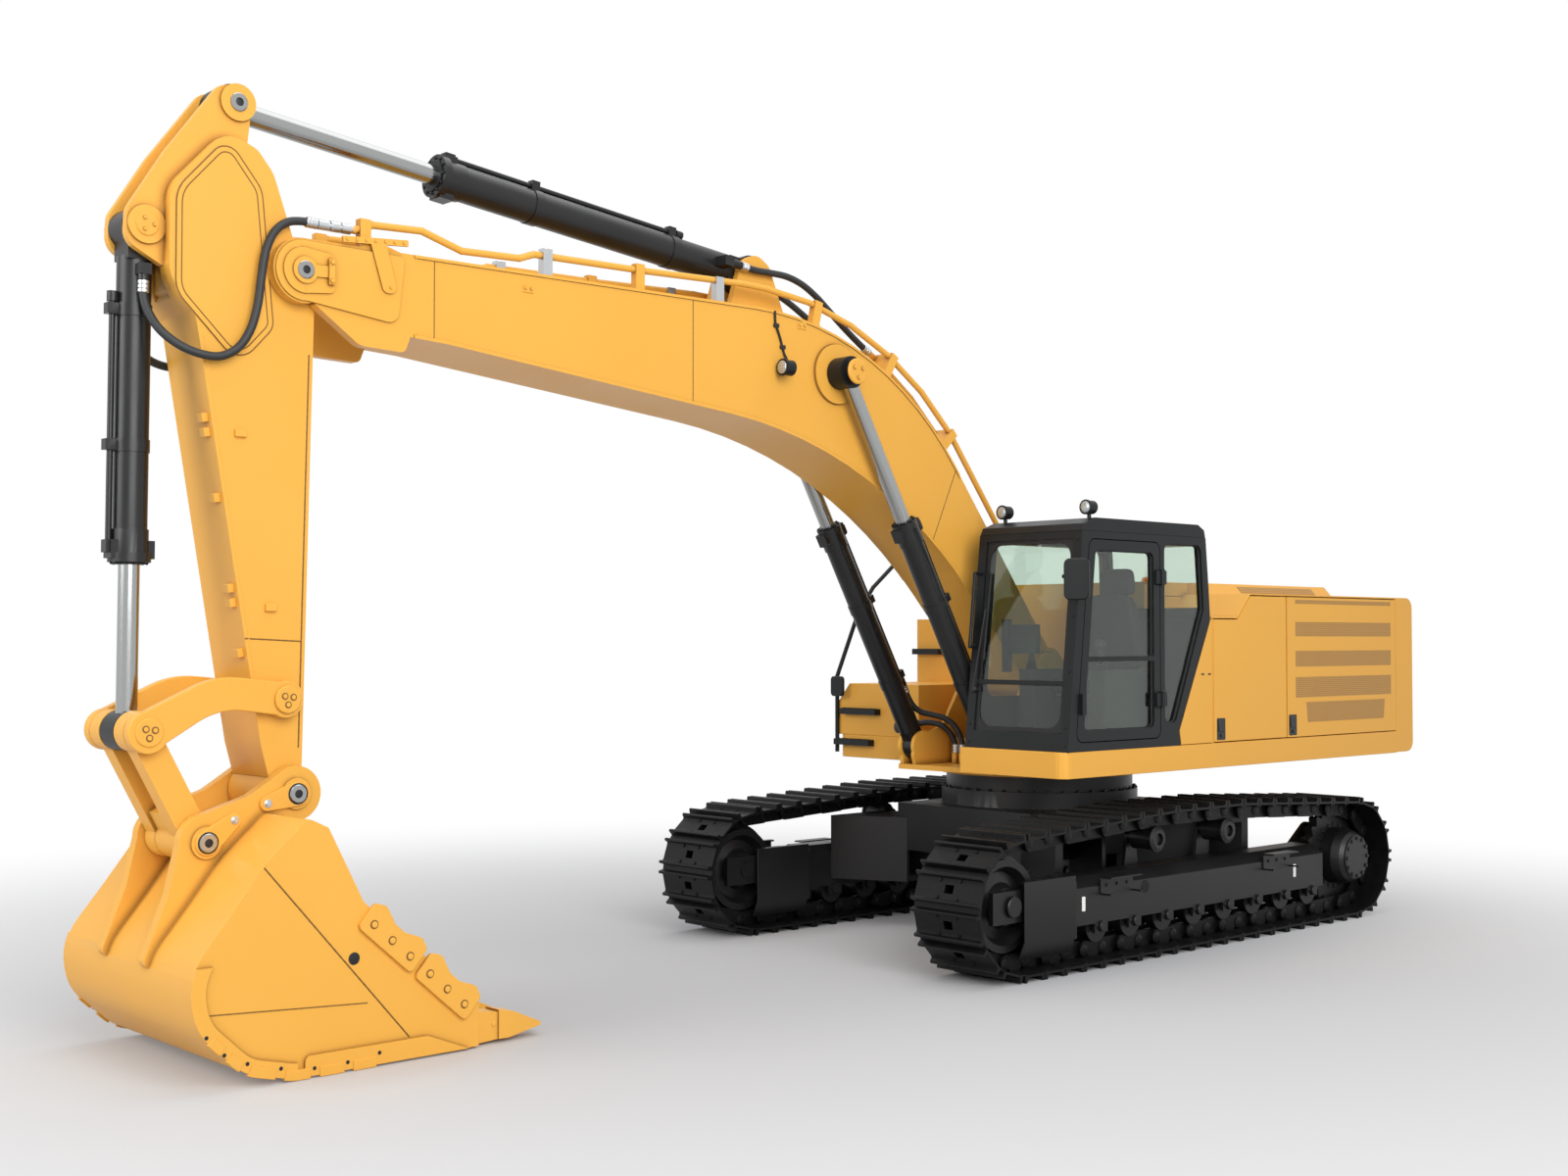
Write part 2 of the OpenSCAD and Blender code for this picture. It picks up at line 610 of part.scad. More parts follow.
// Roof line over the left front door, with its low step beside the cab
step_line = [[hood_x1, deck_z], [bulkhead_x, deck_z], [bulkhead_x, left_low_z], [-640, left_low_z],
    [-825, panel_top_z], [hood_x1, panel_top_z]];
module house_panels() {
    in_y = house_half_w - panel_t;
    under = inset(step_line, roof_t);
    under_z = panel_top_z - roof_t;
    color(paint_yellow) {
        // Posts between the doors
        for (x = [tail_x + post / 2, left_split_x]) pair()
            box([x - post / 2, in_y - post, deck_z], [x + post / 2, in_y, under_z]);
        // Roof strips beside the hood
        for (s = [-1, 1]) box([tail_x, s > 0 ? hood_half_w + door_gap : -house_half_w, under_z],
            [hood_x1, s > 0 ? house_half_w : -hood_half_w - door_gap, panel_top_z]);
        box([tail_x, -hood_half_w - door_gap, under_z], [hood_x0 - door_gap, hood_half_w + door_gap,
            panel_top_z]);
        // Bulkhead behind the cab and the raised cover over the pumps
        box([bulkhead_x - bulkhead_t, frame_half_w, deck_z], [bulkhead_x, house_half_w,
            left_low_z - roof_t]);
        box([bulkhead_x - bulkhead_t, inner_side_y, 1900], [bulkhead_x, frame_half_w, under_z]);
        box([bulkhead_x - bulkhead_t, frame_half_w, left_low_z - roof_t], [bulkhead_x, cover_y1, under_z]);
        difference() {
            box([hood_x1 + door_gap, inner_side_y, under_z], [bulkhead_x, cover_y1, hood_top_z]);
            box([hood_x1 + door_gap - 1, inner_side_y + roof_t, under_z - 1],
                [bulkhead_x - bulkhead_t, cover_y1 - roof_t, hood_top_z - roof_t]);
        }
        xz(cover_y1, house_half_w) polygon([step_line[2], step_line[3], step_line[4], step_line[5],
            [hood_x1, under_z], under[4], under[3], [bulkhead_x, under[3].y]]);
    }
}

module engine_hood() {
    side = 90;
    skin = 10;
    low_z = panel_top_z - roof_t;
    color(paint_yellow) difference() {
        translate([hood_x0, 0, 0]) rotate([90, 0, 90]) linear_extrude(hood_x1 - hood_x0) polygon([
            [-hood_half_w, low_z], [hood_half_w, low_z], [hood_half_w, panel_top_z],
            [hood_half_w - side, hood_top_z], [-hood_half_w + side, hood_top_z],
            [-hood_half_w, panel_top_z]]);
        translate([hood_x0 + skin, 0, 0]) rotate([90, 0,
            90]) linear_extrude(hood_x1 - hood_x0 - 2 * skin) polygon([
            [-hood_half_w + skin, low_z - 1], [hood_half_w - skin, low_z - 1],
            [hood_half_w - skin, panel_top_z - skin / 2],
            [hood_half_w - side - skin / 2, hood_top_z - skin],
            [-hood_half_w + side + skin / 2, hood_top_z - skin],
            [-hood_half_w + skin, panel_top_z - skin / 2]]);
    }
}

// A door as a pan: its outer skin with a rim round the inner side
door_skin = 8;
module door_pan(outline) {
    difference() {
        xz(house_half_w - panel_t, house_half_w) polygon(outline);
        xz(house_half_w - panel_t - 1, house_half_w - door_skin) polygon(inset(outline, 2 * door_skin));
    }
}
module left_front_door() {
    top = inset(step_line, roof_t + door_gap);
    front_x = bulkhead_x - bulkhead_t - door_gap;
    rear_x = left_split_x + door_gap;
    low_z = deck_z + door_gap;
    color(paint_yellow) door_pan([[front_x, low_z], [front_x, top[3].y], top[3], top[4], [rear_x, top[4].y],
        [rear_x, low_z]]);
}
grille_rows = [[2626, 2660], [2358, 2476], [2107, 2237], [1853, 2022], [1644, 1818]];
grille_x0 = tail_x + 90;
grille_x1 = left_split_x - 130;
module side_door() {
    x0 = tail_x + door_gap;
    x1 = left_split_x - door_gap;
    z0 = deck_z + door_gap;
    z1 = panel_top_z - roof_t - door_gap;
    bars = 5;
    difference() {
        door_pan([[x0, z0], [x1, z0], [x1, z1], [x0, z1]]);
        for (row = grille_rows) box([grille_x0, house_half_w - door_skin - 1, row[0]],
            [grille_x1, house_half_w + 1, row[1]]);
    }
    // Slats across each grille
    for (row = grille_rows) for (i = [1 : bars]) box([grille_x0, house_half_w - door_skin,
        row[0] + (row[1] - row[0]) * i / (bars + 1) - 4], [grille_x1, house_half_w - 2,
        row[0] + (row[1] - row[0]) * i / (bars + 1) + 4]);
}
module left_rear_door() {
    color(paint_yellow) side_door();
}
module right_rear_door() {
    color(paint_yellow) mirror([0, 1, 0]) side_door();
}

tank_x0 = left_split_x + post / 2 + 10;
tank_split_x = -720;
tank_x1 = -105;
module tank(x0, x1, top_z) {
    wall = 12;
    difference() {
        translate([0, 0, deck_z]) linear_extrude(top_z - deck_z) polygon(rounded([[x0, -house_half_w, 40],
            [x1, -house_half_w, 40], [x1, inner_side_y, 40], [x0, inner_side_y, 40]]));
        box([x0 + wall, -house_half_w + wall, deck_z - 1], [x1 - wall, inner_side_y - wall, top_z - wall]);
    }
}
module fuel_tank() {
    color(paint_yellow) tank(tank_split_x, tank_x1, left_low_z);
}
module hydraulic_tank() {
    color(paint_yellow) tank(tank_x0, tank_split_x, left_low_z);
}

module tool_box() {
    wall = 10;
    top_z = 1960;
    color(paint_yellow) difference() {
        translate([tank_x1, 0, 0]) rotate([90, 0, 90]) linear_extrude(right_front_x - tank_x1)
            polygon([[-house_half_w, deck_z], [inner_side_y, deck_z], [inner_side_y, top_z],
                [-house_half_w + 130, top_z],
                [-house_half_w, top_z - 150]]);
        translate([tank_x1 + wall, 0, 0]) rotate([90, 0,
            90]) linear_extrude(right_front_x - tank_x1 - 2 * wall)
            polygon([[-house_half_w + wall, deck_z - 1], [inner_side_y - wall, deck_z - 1],
                [inner_side_y - wall, top_z - wall],
                [-house_half_w + 134, top_z - wall], [-house_half_w + wall, top_z - 154]]);
    }
}

// A round tube through a list of points, with ball joints at the bends
module pipe(pts, r) {
    for (i = [0 : len(pts) - 2]) {
        d = pts[i + 1] - pts[i];
        translate(pts[i]) rotate([0, acos(d.z / norm(d)), atan2(d.y, d.x)]) {
            cylinder(r = r, h = norm(d));
            if (i > 0) sphere(r = r * 1.05);
        }
    }
}
rail_r_hand = 18;
module handrails() {
    y = -house_half_w + 25;
    x = right_front_x + rail_r_hand;
    color(trim_black) pipe([[x, y - 25, deck_z - 150], [x, y - 25, 2020], [640, y, 2560], [455, y, 2785],
        [158, y, 3015],
        [-150, y, 3090], [-450, y, 3090], [-450, y, left_low_z]], rail_r_hand);
    // Tread pads on the steps of the tool box and the tank
    color(trim_black) {
        for (pad = [[-1412, 1700], [-1488, 1440]]) box([right_front_x + turn_gap, pad[0], pad[1]],
            [right_front_x + 70,
            pad[0] + 415, pad[1] + 50]);
        box([tank_x1 + turn_gap, -1470, 2200], [tank_x1 + 70, -1160, 2250]);
    }
    // Grab handle on the cab's front right pillar
    color(trim_black) pipe([for (q = [[grab_seat, grab_zs[0]], [grab_out, grab_zs[0]],
        [grab_out, grab_zs[1]],
        [grab_seat, grab_zs[1]]]) [cab_front_at(q.y) + q.x, cab_y + 40, q.y]], grab_r);
}
grab_r = 14;
grab_zs = [2830, 2280];
grab_out = 70;
// The pillar leans, so that the handle's ends stand this far off it
grab_seat = 2;
module mirrors() {
    rail_x = right_front_x + rail_r_hand;
    back_x = rail_x + 42;
    arm_z = 1930;
    left_arm_z = 2770;
    color(trim_black) {
        box([back_x, -house_half_w - 10, arm_z - 80], [back_x + 35, -house_half_w + 140, arm_z + 90]);
        box([rail_x + rail_r_hand + turn_gap, -house_half_w - 8, arm_z],
            [back_x, -house_half_w + 8, arm_z + 20]);
        // Mirror beside the cab's front left pillar
        translate([left_mirror_x, house_half_w - 60, left_arm_z]) rotate([0, 0, 20])
            box([-18, 0, -155], [18, 190, 145]);
        box([cab_front_at(left_arm_z) + turn_gap, house_half_w - 80, left_arm_z],
            [left_mirror_x + 10, house_half_w - 40, left_arm_z + 30]);
    }
}
left_mirror_x = 1450;

// Cab outline seen from the left, counterclockwise
cab_low_z = deck_z;
cab_roof_z = cab_top_z - 100;
cab_front_x = 1490;
cab_brow_x = 1300;
function cab_front_at(z) = cab_front_x
    + (cab_brow_x - cab_front_x) * (z - cab_low_z) / (cab_top_z - cab_low_z);
cab_outline = [[130, cab_low_z], [cab_front_x, cab_low_z], [cab_front_at(cab_roof_z), cab_roof_z],
    [-215, cab_roof_z], [-250, 2750], [-270, 2490], [150, 1636]];
door_top_z = cab_top_z - 160;
door_low_z = cab_low_z + 70;
function front_strip(z0, z1, d0, d1) = [[cab_front_at(z0) - d1, z0], [cab_front_at(z0) - d0, z0],
    [cab_front_at(z1) - d0, z1], [cab_front_at(z1) - d1, z1]];
function round_all(pts, r) = rounded([for (p = pts) [p.x, p.y, r]]);
door_edge = 90;
door_corners = [[cab_door_x, door_low_z], [cab_front_at(door_low_z) - door_edge, door_low_z],
    [cab_front_at(door_top_z) - door_edge, door_top_z], [cab_door_x, door_top_z]];
door_outline = round_all(door_corners, 60);
quarter_outline = rounded([[190, 1700, 60], [cab_door_x - 60, 1700, 60], [cab_door_x - 60, door_top_z, 60],
    [-150, door_top_z, 60], [-185, 2560, 60]]);
right_outline = rounded([[cab_door_x - 150, 1900, 80], [cab_front_at(1900) - 140, 1900, 80],
    [cab_front_at(door_top_z) - 140, door_top_z, 80], [-130, door_top_z, 80], [-150, 2560, 60]]);
shield_y0 = cab_y + 75;
shield_y1 = house_half_w - 75;
shield_z0 = cab_low_z + 130;
shield_z1 = cab_roof_z - 50;
shield_bar_z = 2000;
// Depth of the glass behind the cab's faces
glass_in = 20;
// Cab door hinge: axis and knuckles
hinge_x = cab_door_x - 4;
hinge_out = 24;
hinge_zs = [door_low_z + 284, door_top_z - 259];
hinge_half = 60;
knuckle_r = 20;
module cab_shell() {
    y1 = house_half_w;
    color(trim_black) difference() {
        xz(cab_y, y1) polygon(cab_outline);
        xz(cab_y + cab_wall, y1 - cab_wall) polygon(inset(cab_outline, cab_wall));
        box([0, cab_y + 2 * cab_wall, cab_roof_z - cab_wall - 1],
            [1000, y1 - 2 * cab_wall, cab_roof_z + 1]);
        xz(y1 - cab_wall - 1, y1 + 1) polygon(round_all(inset(door_corners, -door_gap), 60 + door_gap));
        xz(y1 - cab_wall - 1, y1 + 1) polygon(quarter_outline);
        xz(cab_y - 1, cab_y + cab_wall + 1) polygon(right_outline);
        xz(shield_y0, shield_y1) polygon(front_strip(shield_z0, shield_z1, -20, cab_wall + 60));
        box([-400, shield_y0, 2580], [-100, shield_y1, door_top_z]);
    }
    // Bar across the windshield, in front of the glass
    color(trim_black) xz(shield_y0 - 10, shield_y1 + 10)
        polygon(front_strip(shield_bar_z, shield_bar_z + 34, 0, glass_in - 4));
    // Leaves that carry the door's knuckles
    color(trim_black) for (z = hinge_zs) difference() {
        box([hinge_x - 60, y1, z - hinge_half + 10], [hinge_x, y1 + 18, z + hinge_half - 10]);
        translate([hinge_x, y1 + hinge_out, 0]) cylinder(r = knuckle_r + turn_gap, h = cab_top_z);
    }
}
module cab_roof() {
    skin = 12;
    outline = [[-215, cab_roof_z], [cab_front_at(cab_roof_z), cab_roof_z],
        [cab_front_at(cab_roof_z) - 30, cab_roof_z + 55], [1150, cab_top_z], [-120, cab_top_z],
        [-200, cab_roof_z + 60]];
    inner = inset(outline, skin);
    color(trim_black) difference() {
        xz(cab_y, house_half_w) polygon(outline);
        xz(cab_y + skin, house_half_w - skin) polygon([[inner[0].x, cab_roof_z - 1],
            [inner[1].x, cab_roof_z - 1],
            inner[2], inner[3], inner[4], inner[5]]);
    }
}
module cab_glass() {
    y1 = house_half_w;
    color("#8fa5a0", 0.4) {
        xz(shield_y0, shield_y1) polygon(front_strip(shield_z0, shield_z1, glass_in, glass_in + glass_t));
        xz(y1 - 30 - glass_t, y1 - 30) polygon(quarter_outline);
        xz(cab_y + 30, cab_y + 30 + glass_t) polygon(right_outline);
        box([-235, shield_y0, 2580], [-235 + glass_t, shield_y1, door_top_z]);
    }
}
door_window = round_all(inset(door_corners, 75), 50);
door_bar_z = 2172;
handle_z = 1790;
module cab_door() {
    y1 = house_half_w;
    color(trim_black) difference() {
        xz(y1 - cab_wall, y1) polygon(door_outline);
        xz(y1 - cab_wall - 1, y1 + 1) polygon(door_window);
    }
    // Bar across the door's glass, and the handle
    color(trim_black) {
        box([cab_door_x + 70, y1 - 24, door_bar_z], [cab_front_at(door_bar_z) - door_edge - 70, y1,
            door_bar_z + 36]);
        box([cab_front_at(handle_z) - door_edge - 62, y1, handle_z],
            [cab_front_at(handle_z) - door_edge - 18, y1 + 26,
            handle_z + 150]);
    }
    color(trim_black) for (z = hinge_zs) {
        translate([hinge_x, y1 + hinge_out, z - hinge_half]) cylinder(r = knuckle_r, h = 2 * hinge_half);
        box([hinge_x, y1, z - hinge_half + 10], [cab_door_x + 70, y1 + hinge_out, z + hinge_half - 10]);
    }
}
module cab_door_glass() {
    color("#8fa5a0", 0.4) xz(house_half_w - 30 - glass_t, house_half_w - 30) polygon(door_window);
}

cab_half_in = (house_half_w - cab_y) / 2 - cab_wall;
seat_y = (cab_y + house_half_w) / 2;
seat_half_w = cab_half_in - 180;
console_y = cab_half_in - 100;
console_half_w = 70;
module operator_seat() {
    floor_z = cab_low_z + cab_wall;
    color("#2b2d30") {
        box([330, seat_y - seat_half_w + 80, floor_z], [720, seat_y + seat_half_w - 80, floor_z + 330]);
        box([300, seat_y - seat_half_w, floor_z + 330], [820, seat_y + seat_half_w, floor_z + 460]);
        xz(seat_y - seat_half_w, seat_y + seat_half_w) polygon(rounded([[300, floor_z + 460, 0],
            [450, floor_z + 460, 0],
            [330, floor_z + 1090, 60], [210, floor_z + 1090, 60]]));
        xz(seat_y - seat_half_w + 100, seat_y + seat_half_w - 100) polygon(rounded([[225, floor_z + 1090,
            0], [315, floor_z + 1090, 0],
            [300, floor_z + 1290, 40], [200, floor_z + 1290, 40]]));
    }
}
module cab_controls() {
    floor_z = cab_low_z + cab_wall;
    color("#2b2d30") {
        for (s = [-1, 1]) {
            y = seat_y + s * console_y;
            box([340, y - console_half_w, floor_z], [960, y + console_half_w, floor_z + 520]);
            translate([900, y, floor_z + 520]) cylinder(r = 22, h = 190);
            translate([900, y, floor_z + 710]) sphere(r = 40);
            box([1180, seat_y + s * 120 - 60, floor_z], [1330, seat_y + s * 120 + 60, floor_z + 60]);
        }
        box([1080, cab_y + cab_wall, floor_z + 500], [1130, cab_y + cab_wall + 60, floor_z + 900]);
        box([1060, cab_y + cab_wall + 60, floor_z + 640], [1110, cab_y + cab_wall + 320, floor_z + 860]);
    }
}
module work_lamps() {
    x = 1120;
    lamp_r = 50;
    in_from_side = 90;
    color(trim_black) for (y = [cab_y + in_from_side, house_half_w - in_from_side]) {
        translate([x, y, cab_top_z]) cylinder(r = 15, h = 40);
        translate([x - 40, y, cab_top_z + lamp_r + 30]) rotate([0, 90, 0]) cylinder(r = lamp_r, h = 75);
    }
}

// Boom outline: foot, belly, nose and back
nose_x = 6120;
boom_foot_r = 190;
boom_nose_r = 185;
boom_outline = [[467, 1943, 0], [2193, 3731, 3960], [5890, 4107, 0], [6145, 4121, 0], [6182, 4025, 40],
    [6479, 4035, 120], [6766, 4240, 0], [6841, 4610, 0], [6129, 4615, 0], [2133, 4655, 2600],
    [212, 2222, 0]];
boom_pts = rounded(boom_outline, 12);
flange = 6;
flange_x0 = boom_foot_x + 970;
plate_t = 10;
// Stacked plates round the stick pin, and the bracket that carries the lines' ends
big_plate = rounded([[pin_stick.x - 20, pin_stick.y - 170, 0], [6235, 4185, 70], [6190, 4590, 30],
    [pin_stick.x - 20, pin_stick.y + 170, 0]]);
mid_plate = rounded([[pin_stick.x - 10, pin_stick.y - 128, 0], [6650, 4315, 40], [6650, 4535, 40],
    [pin_stick.x - 10, pin_stick.y + 128, 0]]);
module nose_plates() {
    y = boom_half_w;
    xz(y, y + plate_t) union() {
        polygon(big_plate);
        translate(pin_stick) circle(172);
    }
    xz(y, y + 2 * plate_t) union() {
        polygon(mid_plate);
        translate(pin_stick) circle(130);
    }
    // Pin cap with its keeper
    bar(pin_stick, 76, y, y + 3 * plate_t);
    xz(y, y + 3 * plate_t) polygon([pin_stick + [0, -34], pin_stick + [-160, -26], pin_stick + [-160, 40],
        pin_stick + [0, 34]]);
    box([pin_stick.x - 178, y, pin_stick.y - 66], [pin_stick.x - 142, y + 4 * plate_t, pin_stick.y + 82]);
    // Bracket of the lines
    xz(y, y + 2 * plate_t) union() {
        polygon([[6172, 4655], [6600, 4620], [6604, 4656], [6175, 4691]]);
        polygon(rounded([[6240, 4360, 40], [6335, 4360, 40], [6425, 4650, 0], [6325, 4660, 0]]));
    }
}
module boom() {
    hollow = inset(boom_pts, boom_cap_t);
    color(paint_yellow) difference() {
        union() {
            xz(-boom_half_w, boom_half_w) union() {
                polygon(boom_pts);
                translate(pin_foot) circle(boom_foot_r);
                translate(pin_stick) circle(boom_nose_r);
            }
            // Edges of the top and bottom plates, a little wider than the side plates
            xz(-boom_half_w - flange, boom_half_w + flange) intersection() {
                ring_2d(boom_pts, hollow);
                translate([flange_x0, 0]) square([nose_x - flange_x0, 2 * pin_stick.y]);
            }
            pair() {
                bar(pin_boom_rod, 215, boom_half_w, boom_half_w + 20);
                stick_cylinder_ear();
                nose_plates();
            }
        }
        // Box inside the plates
        difference() {
            xz(-boom_half_w + boom_side_t, boom_half_w - boom_side_t) polygon(hollow);
            bar(pin_foot, boom_foot_r + 10, -boom_half_w, boom_half_w);
            bar(pin_boom_rod, 120, -boom_half_w, boom_half_w);
            box([nose_x - 60, -boom_half_w, 3800], [7200, boom_half_w, 4900]);
        }
        // Space between the nose's ears
        box([nose_x, -nose_gap, 3800], [7200, nose_gap, 4900]);
        bar(pin_foot, foot_pin_r + pin_gap, -boom_half_w - 1, boom_half_w + 1);
    }
    color(paint_yellow) {
        bar(pin_stick, main_pin_r, -nose_gap - 1, nose_gap + 1);
        bar(pin_stick_cyl, main_pin_r, -lug_gap - 1, lug_gap + 1);
    }
}
module stick_cylinder_ear() {
    xz(lug_gap, lug_gap + lug_t) polygon(rounded([[2960, 4560, 0], [3520, 4600, 0], [3400, 4980, 110],
        [pin_stick_cyl.x, 5060, 120], [3140, 4980, 110]]));
}
// Lines on the boom's back: along the straight back with their bends, then round the arc to the foot
line_r = 22;
line_y = 262;
stick_line_y = 115;
line_lift = 150;
back_c = arc_centre(boom_outline[8], boom_outline[9], boom_outline[10]);
back_r = boom_outline[9][2];
line_front = [[6740, 4712], [6500, 4712], [6380, 4760], [6050, 4775], [5770, 4695], [5350, 4710],
    [5240, 4750],
    [4400, 4765], [3500, 4795]];
line_arc = [for (a = [92 : 9 : 137]) polar(back_c, back_r + line_lift, a)];
line_foot = polar(back_c, back_r + line_lift, 141.6) + [-480, -608];
line_run = concat(line_front, line_arc, [line_foot]);
clamp_xs = [6440, 5150, 4410, 3720];
clamp_half = 35;
back_pts = [for (k = [0 : 12]) boom_pts[len(boom_pts) - 14 + k]];
function at_y(pts, y) = [for (p = pts) [p.x, y, p.y]];
module boom_lines() {
    color(paint_yellow) pair() {
        pipe(at_y(line_run, line_y), line_r);
        // The stick cylinder's line starts at its hose
        pipe(at_y(concat([polar(back_c, back_r + line_lift, 119) + 60 * [cos(29), sin(29)]],
            [for (a = [121 : 8 : 137]) polar(back_c, back_r + line_lift, a)],
            [line_foot]), stick_line_y), line_r);
        // Clamps on the straight back and round the arc
        for (x = clamp_xs) box([x - clamp_half, line_y - 28, boom_top_at(x - clamp_half) + turn_gap],
            [x + clamp_half, line_y + 28, boom_top_at(x) + line_lift + 20]);
        for (k = [3, 7, 11]) arc_clamp(back_pts[k]);
        // Sleeves and end fittings
        for (x = [6530, 6600]) translate([x, line_y, line_front[0].y]) tube_x(line_r + 9, 0, 60);
        translate([6670, line_y, line_front[0].y]) tube_x(fitting_r, 0, line_front[0].x - 6670);
    }
}
module arc_clamp(foot) {
    out = unit(foot - back_c);
    inner_y = foot.x > 2200 ? line_y : stick_line_y;
    aim(foot + out * turn_gap, foot + out * line_lift)
        box([0, inner_y - 28, -clamp_half], [line_lift + 30, line_y + 28, clamp_half]);
}
// Height of the boom's straight back
function between(p, q, x) = p[1] + (q[1] - p[1]) * (x - p[0]) / (q[0] - p[0]);
function boom_top_at(x) = x > boom_outline[8][0] ? between(boom_outline[8], boom_outline[7], x)
    : between(boom_outline[8], boom_outline[9], x);
// A hose: a tube of 8 sides swept along its points
module hose(pts, r) {
    last = len(pts) - 1;
    rings = [for (i = [0 : last]) let (t = unit(pts[min(i + 1, last)] - pts[max(i - 1, 0)]),
        u = unit(cross(t, [0, 1, 0])), v = cross(t, u))
        each [for (k = [0 : 7]) pts[i] + r * (cos(45 * k) * u + sin(45 * k) * v)]];
    polyhedron(rings, concat([[for (k = [0 : 7]) k]], [[for (k = [7 : -1 : 0]) 8 * last + k]],
        [for (i = [0 : last - 1]) for (k = [0 : 7])
            [8 * i + k, 8 * (i + 1) + k, 8 * (i + 1) + (k + 1) % 8, 8 * i + (k + 1) % 8]]));
}
module right_side() {
    mirror([0, 1, 0]) children();
}
module left_bucket_hose() {
    color(hose_black) hose(bucket_hose_pts, hose_r);
}
module right_bucket_hose() {
    color(hose_black) right_side() hose(bucket_hose_pts, hose_r);
}
module left_stick_hose() {
    color(hose_black) hose(stick_hose_pts, hose_r);
}
module right_stick_hose() {
    color(hose_black) right_side() hose(stick_hose_pts, hose_r);
}
module left_lower_boom_hose() {
    color(hose_black) hose(lower_boom_hose_pts, hose_r);
}
module right_lower_boom_hose() {
    color(hose_black) right_side() hose(lower_boom_hose_pts, hose_r);
}
module left_upper_boom_hose() {
    color(hose_black) hose(upper_boom_hose_pts, hose_r);
}
module right_upper_boom_hose() {
    color(hose_black) right_side() hose(upper_boom_hose_pts, hose_r);
}
module boom_lamp() {
    color(trim_black) {
        bar([3170, 4230], 20, boom_half_w, boom_half_w + 40);
        translate([3140, boom_half_w + 80, 4230]) rotate([0, 90, 0]) cylinder(r = 55, h = 80);
    }
}

// Barrel along +X from its base eye, bored for the rod
module barrel(length, r, wall, eye_half, rod_r, pin_r, head_out, bands) {
    eye_r = r + 20;
    gland = 180;
    difference() {
        union() {
            bar([0, 0], eye_r, -eye_half, eye_half);
            xz(-eye_half, eye_half) translate([0, -r * 0.8]) square([eye_r + 70, r * 1.6]);
            tube_x(r, eye_r + 50, length);
            tube_x(r + 8, length - gland, length);
            tube_x(r + head_out, length - 50, length);
            // Lugs of the head's bolts, above and below
            for (s = [-1, 1]) box([length - 120, -r * 0.55, s > 0 ? 0 : -r - 30],
                [length - 20, r * 0.55, s > 0 ? r + 30 : 0]);
            // Pipe to the head, held by bands
            for (x = bands) {
                tube_x(r + 6, x, x + 70);
                box([x + 5, -28, r], [x + 65, 28, r + 62]);
            }
            translate([0, 0, r + pipe_out]) {
                tube_x(pipe_r, bands[0] - 60, length - 60);
                tube_x(fitting_r, bands[0] - 60, bands[0] - 5);
            }
            box([length - 120, -32, r], [length - 50, 32, r + pipe_out + 26]);
        }
        bar([0, 0], pin_r + pin_gap, -r, r);
        tube_x(r - wall, eye_r + 110, length - gland);
        tube_x(rod_r + 1, length - gland - 1, length + 1);
    }
}
// Rod along -X from its eye at the origin
module rod(length, r, eye_r, eye_half) {
    bar([0, 0], eye_r, -eye_half, eye_half);
    tube_x(r, -length, -eye_r * 0.7);
}
// Pipe on top of a barrel
pipe_r = 17;
pipe_out = 26;
boom_cyl_len = norm(pin_boom_rod - pin_boom_cyl);
boom_barrel_len = 1980;
boom_rod_in = 620;
module boom_cylinder_barrels() {
    color(trim_black) pair() aim(pin_boom_cyl, pin_boom_rod, boom_cyl_y) {
        barrel(boom_barrel_len, boom_barrel_r, 18, cyl_eye_half, boom_rod_r, main_pin_r, 9, [560, 1240]);
        // Port for the lower hose
        box([boom_port_x, boom_port_y - 28, boom_barrel_r - 20], [boom_port_x + 60, boom_port_y + 28,
            boom_barrel_r + pipe_out + fitting_r]);
    }
}
module boom_cylinder_rods() {
    color(chrome_grey) pair() aim(pin_boom_rod, 2 * pin_boom_rod - pin_boom_cyl, boom_cyl_y) {
        rod(boom_cyl_len - boom_barrel_len + boom_rod_in, boom_rod_r, 115, boom_cyl_y - boom_half_w - 30);
        bar([0, 0], 80, boom_cyl_y - boom_half_w - 31, 120);
    }
}
stick_cyl_len = norm(pin_stick_rod - pin_stick_cyl);
stick_barrel_len = 2550;
stick_rod_in = 690;
module stick_cylinder_barrel() {
    color(trim_black) aim(pin_stick_cyl, pin_stick_rod) {
        barrel(stick_barrel_len, stick_barrel_r, 22, lug_gap - 4, stick_rod_r, main_pin_r, 26, [640, 1780]);
        // Ports that face the boom's foot
        pair() {
            box([260, stick_barrel_r - 30, -34], [340, stick_port_y + 34, 34]);
            translate([0, stick_port_y, 0]) tube_x(fitting_r, stick_port_x, 261);
        }
    }
}
module stick_cylinder_rod() {
    color(chrome_grey) aim(pin_stick_rod, 2 * pin_stick_rod - pin_stick_cyl)
        rod(stick_cyl_len - stick_barrel_len + stick_rod_in, stick_rod_r, 118, lug_gap - 6);
}
bucket_cyl_len = norm(pin_link_end - pin_bucket_cyl);
bucket_barrel_len = 1830;
bucket_rod_in = 830;
module bucket_cylinder_barrel() {
    color(trim_black) aim(pin_bucket_cyl, pin_link_end) {
        barrel(bucket_barrel_len, bucket_barrel_r, 18, lug_gap - 4, bucket_rod_r, main_pin_r, 22, [420,
            1160]);
        // Ports that face down along the barrel
        pair() {
            box([210, bucket_barrel_r - 20, -32], [270, bucket_port_y + 32, 32]);
            translate([0, bucket_port_y, 0]) tube_x(fitting_r, 269, bucket_port_x);
        }
    }
}
module bucket_cylinder_rod() {
    color(chrome_grey) aim(pin_link_end, 2 * pin_link_end - pin_bucket_cyl)
        rod(bucket_cyl_len - bucket_barrel_len + bucket_rod_in, bucket_rod_r, 110, 88);
}

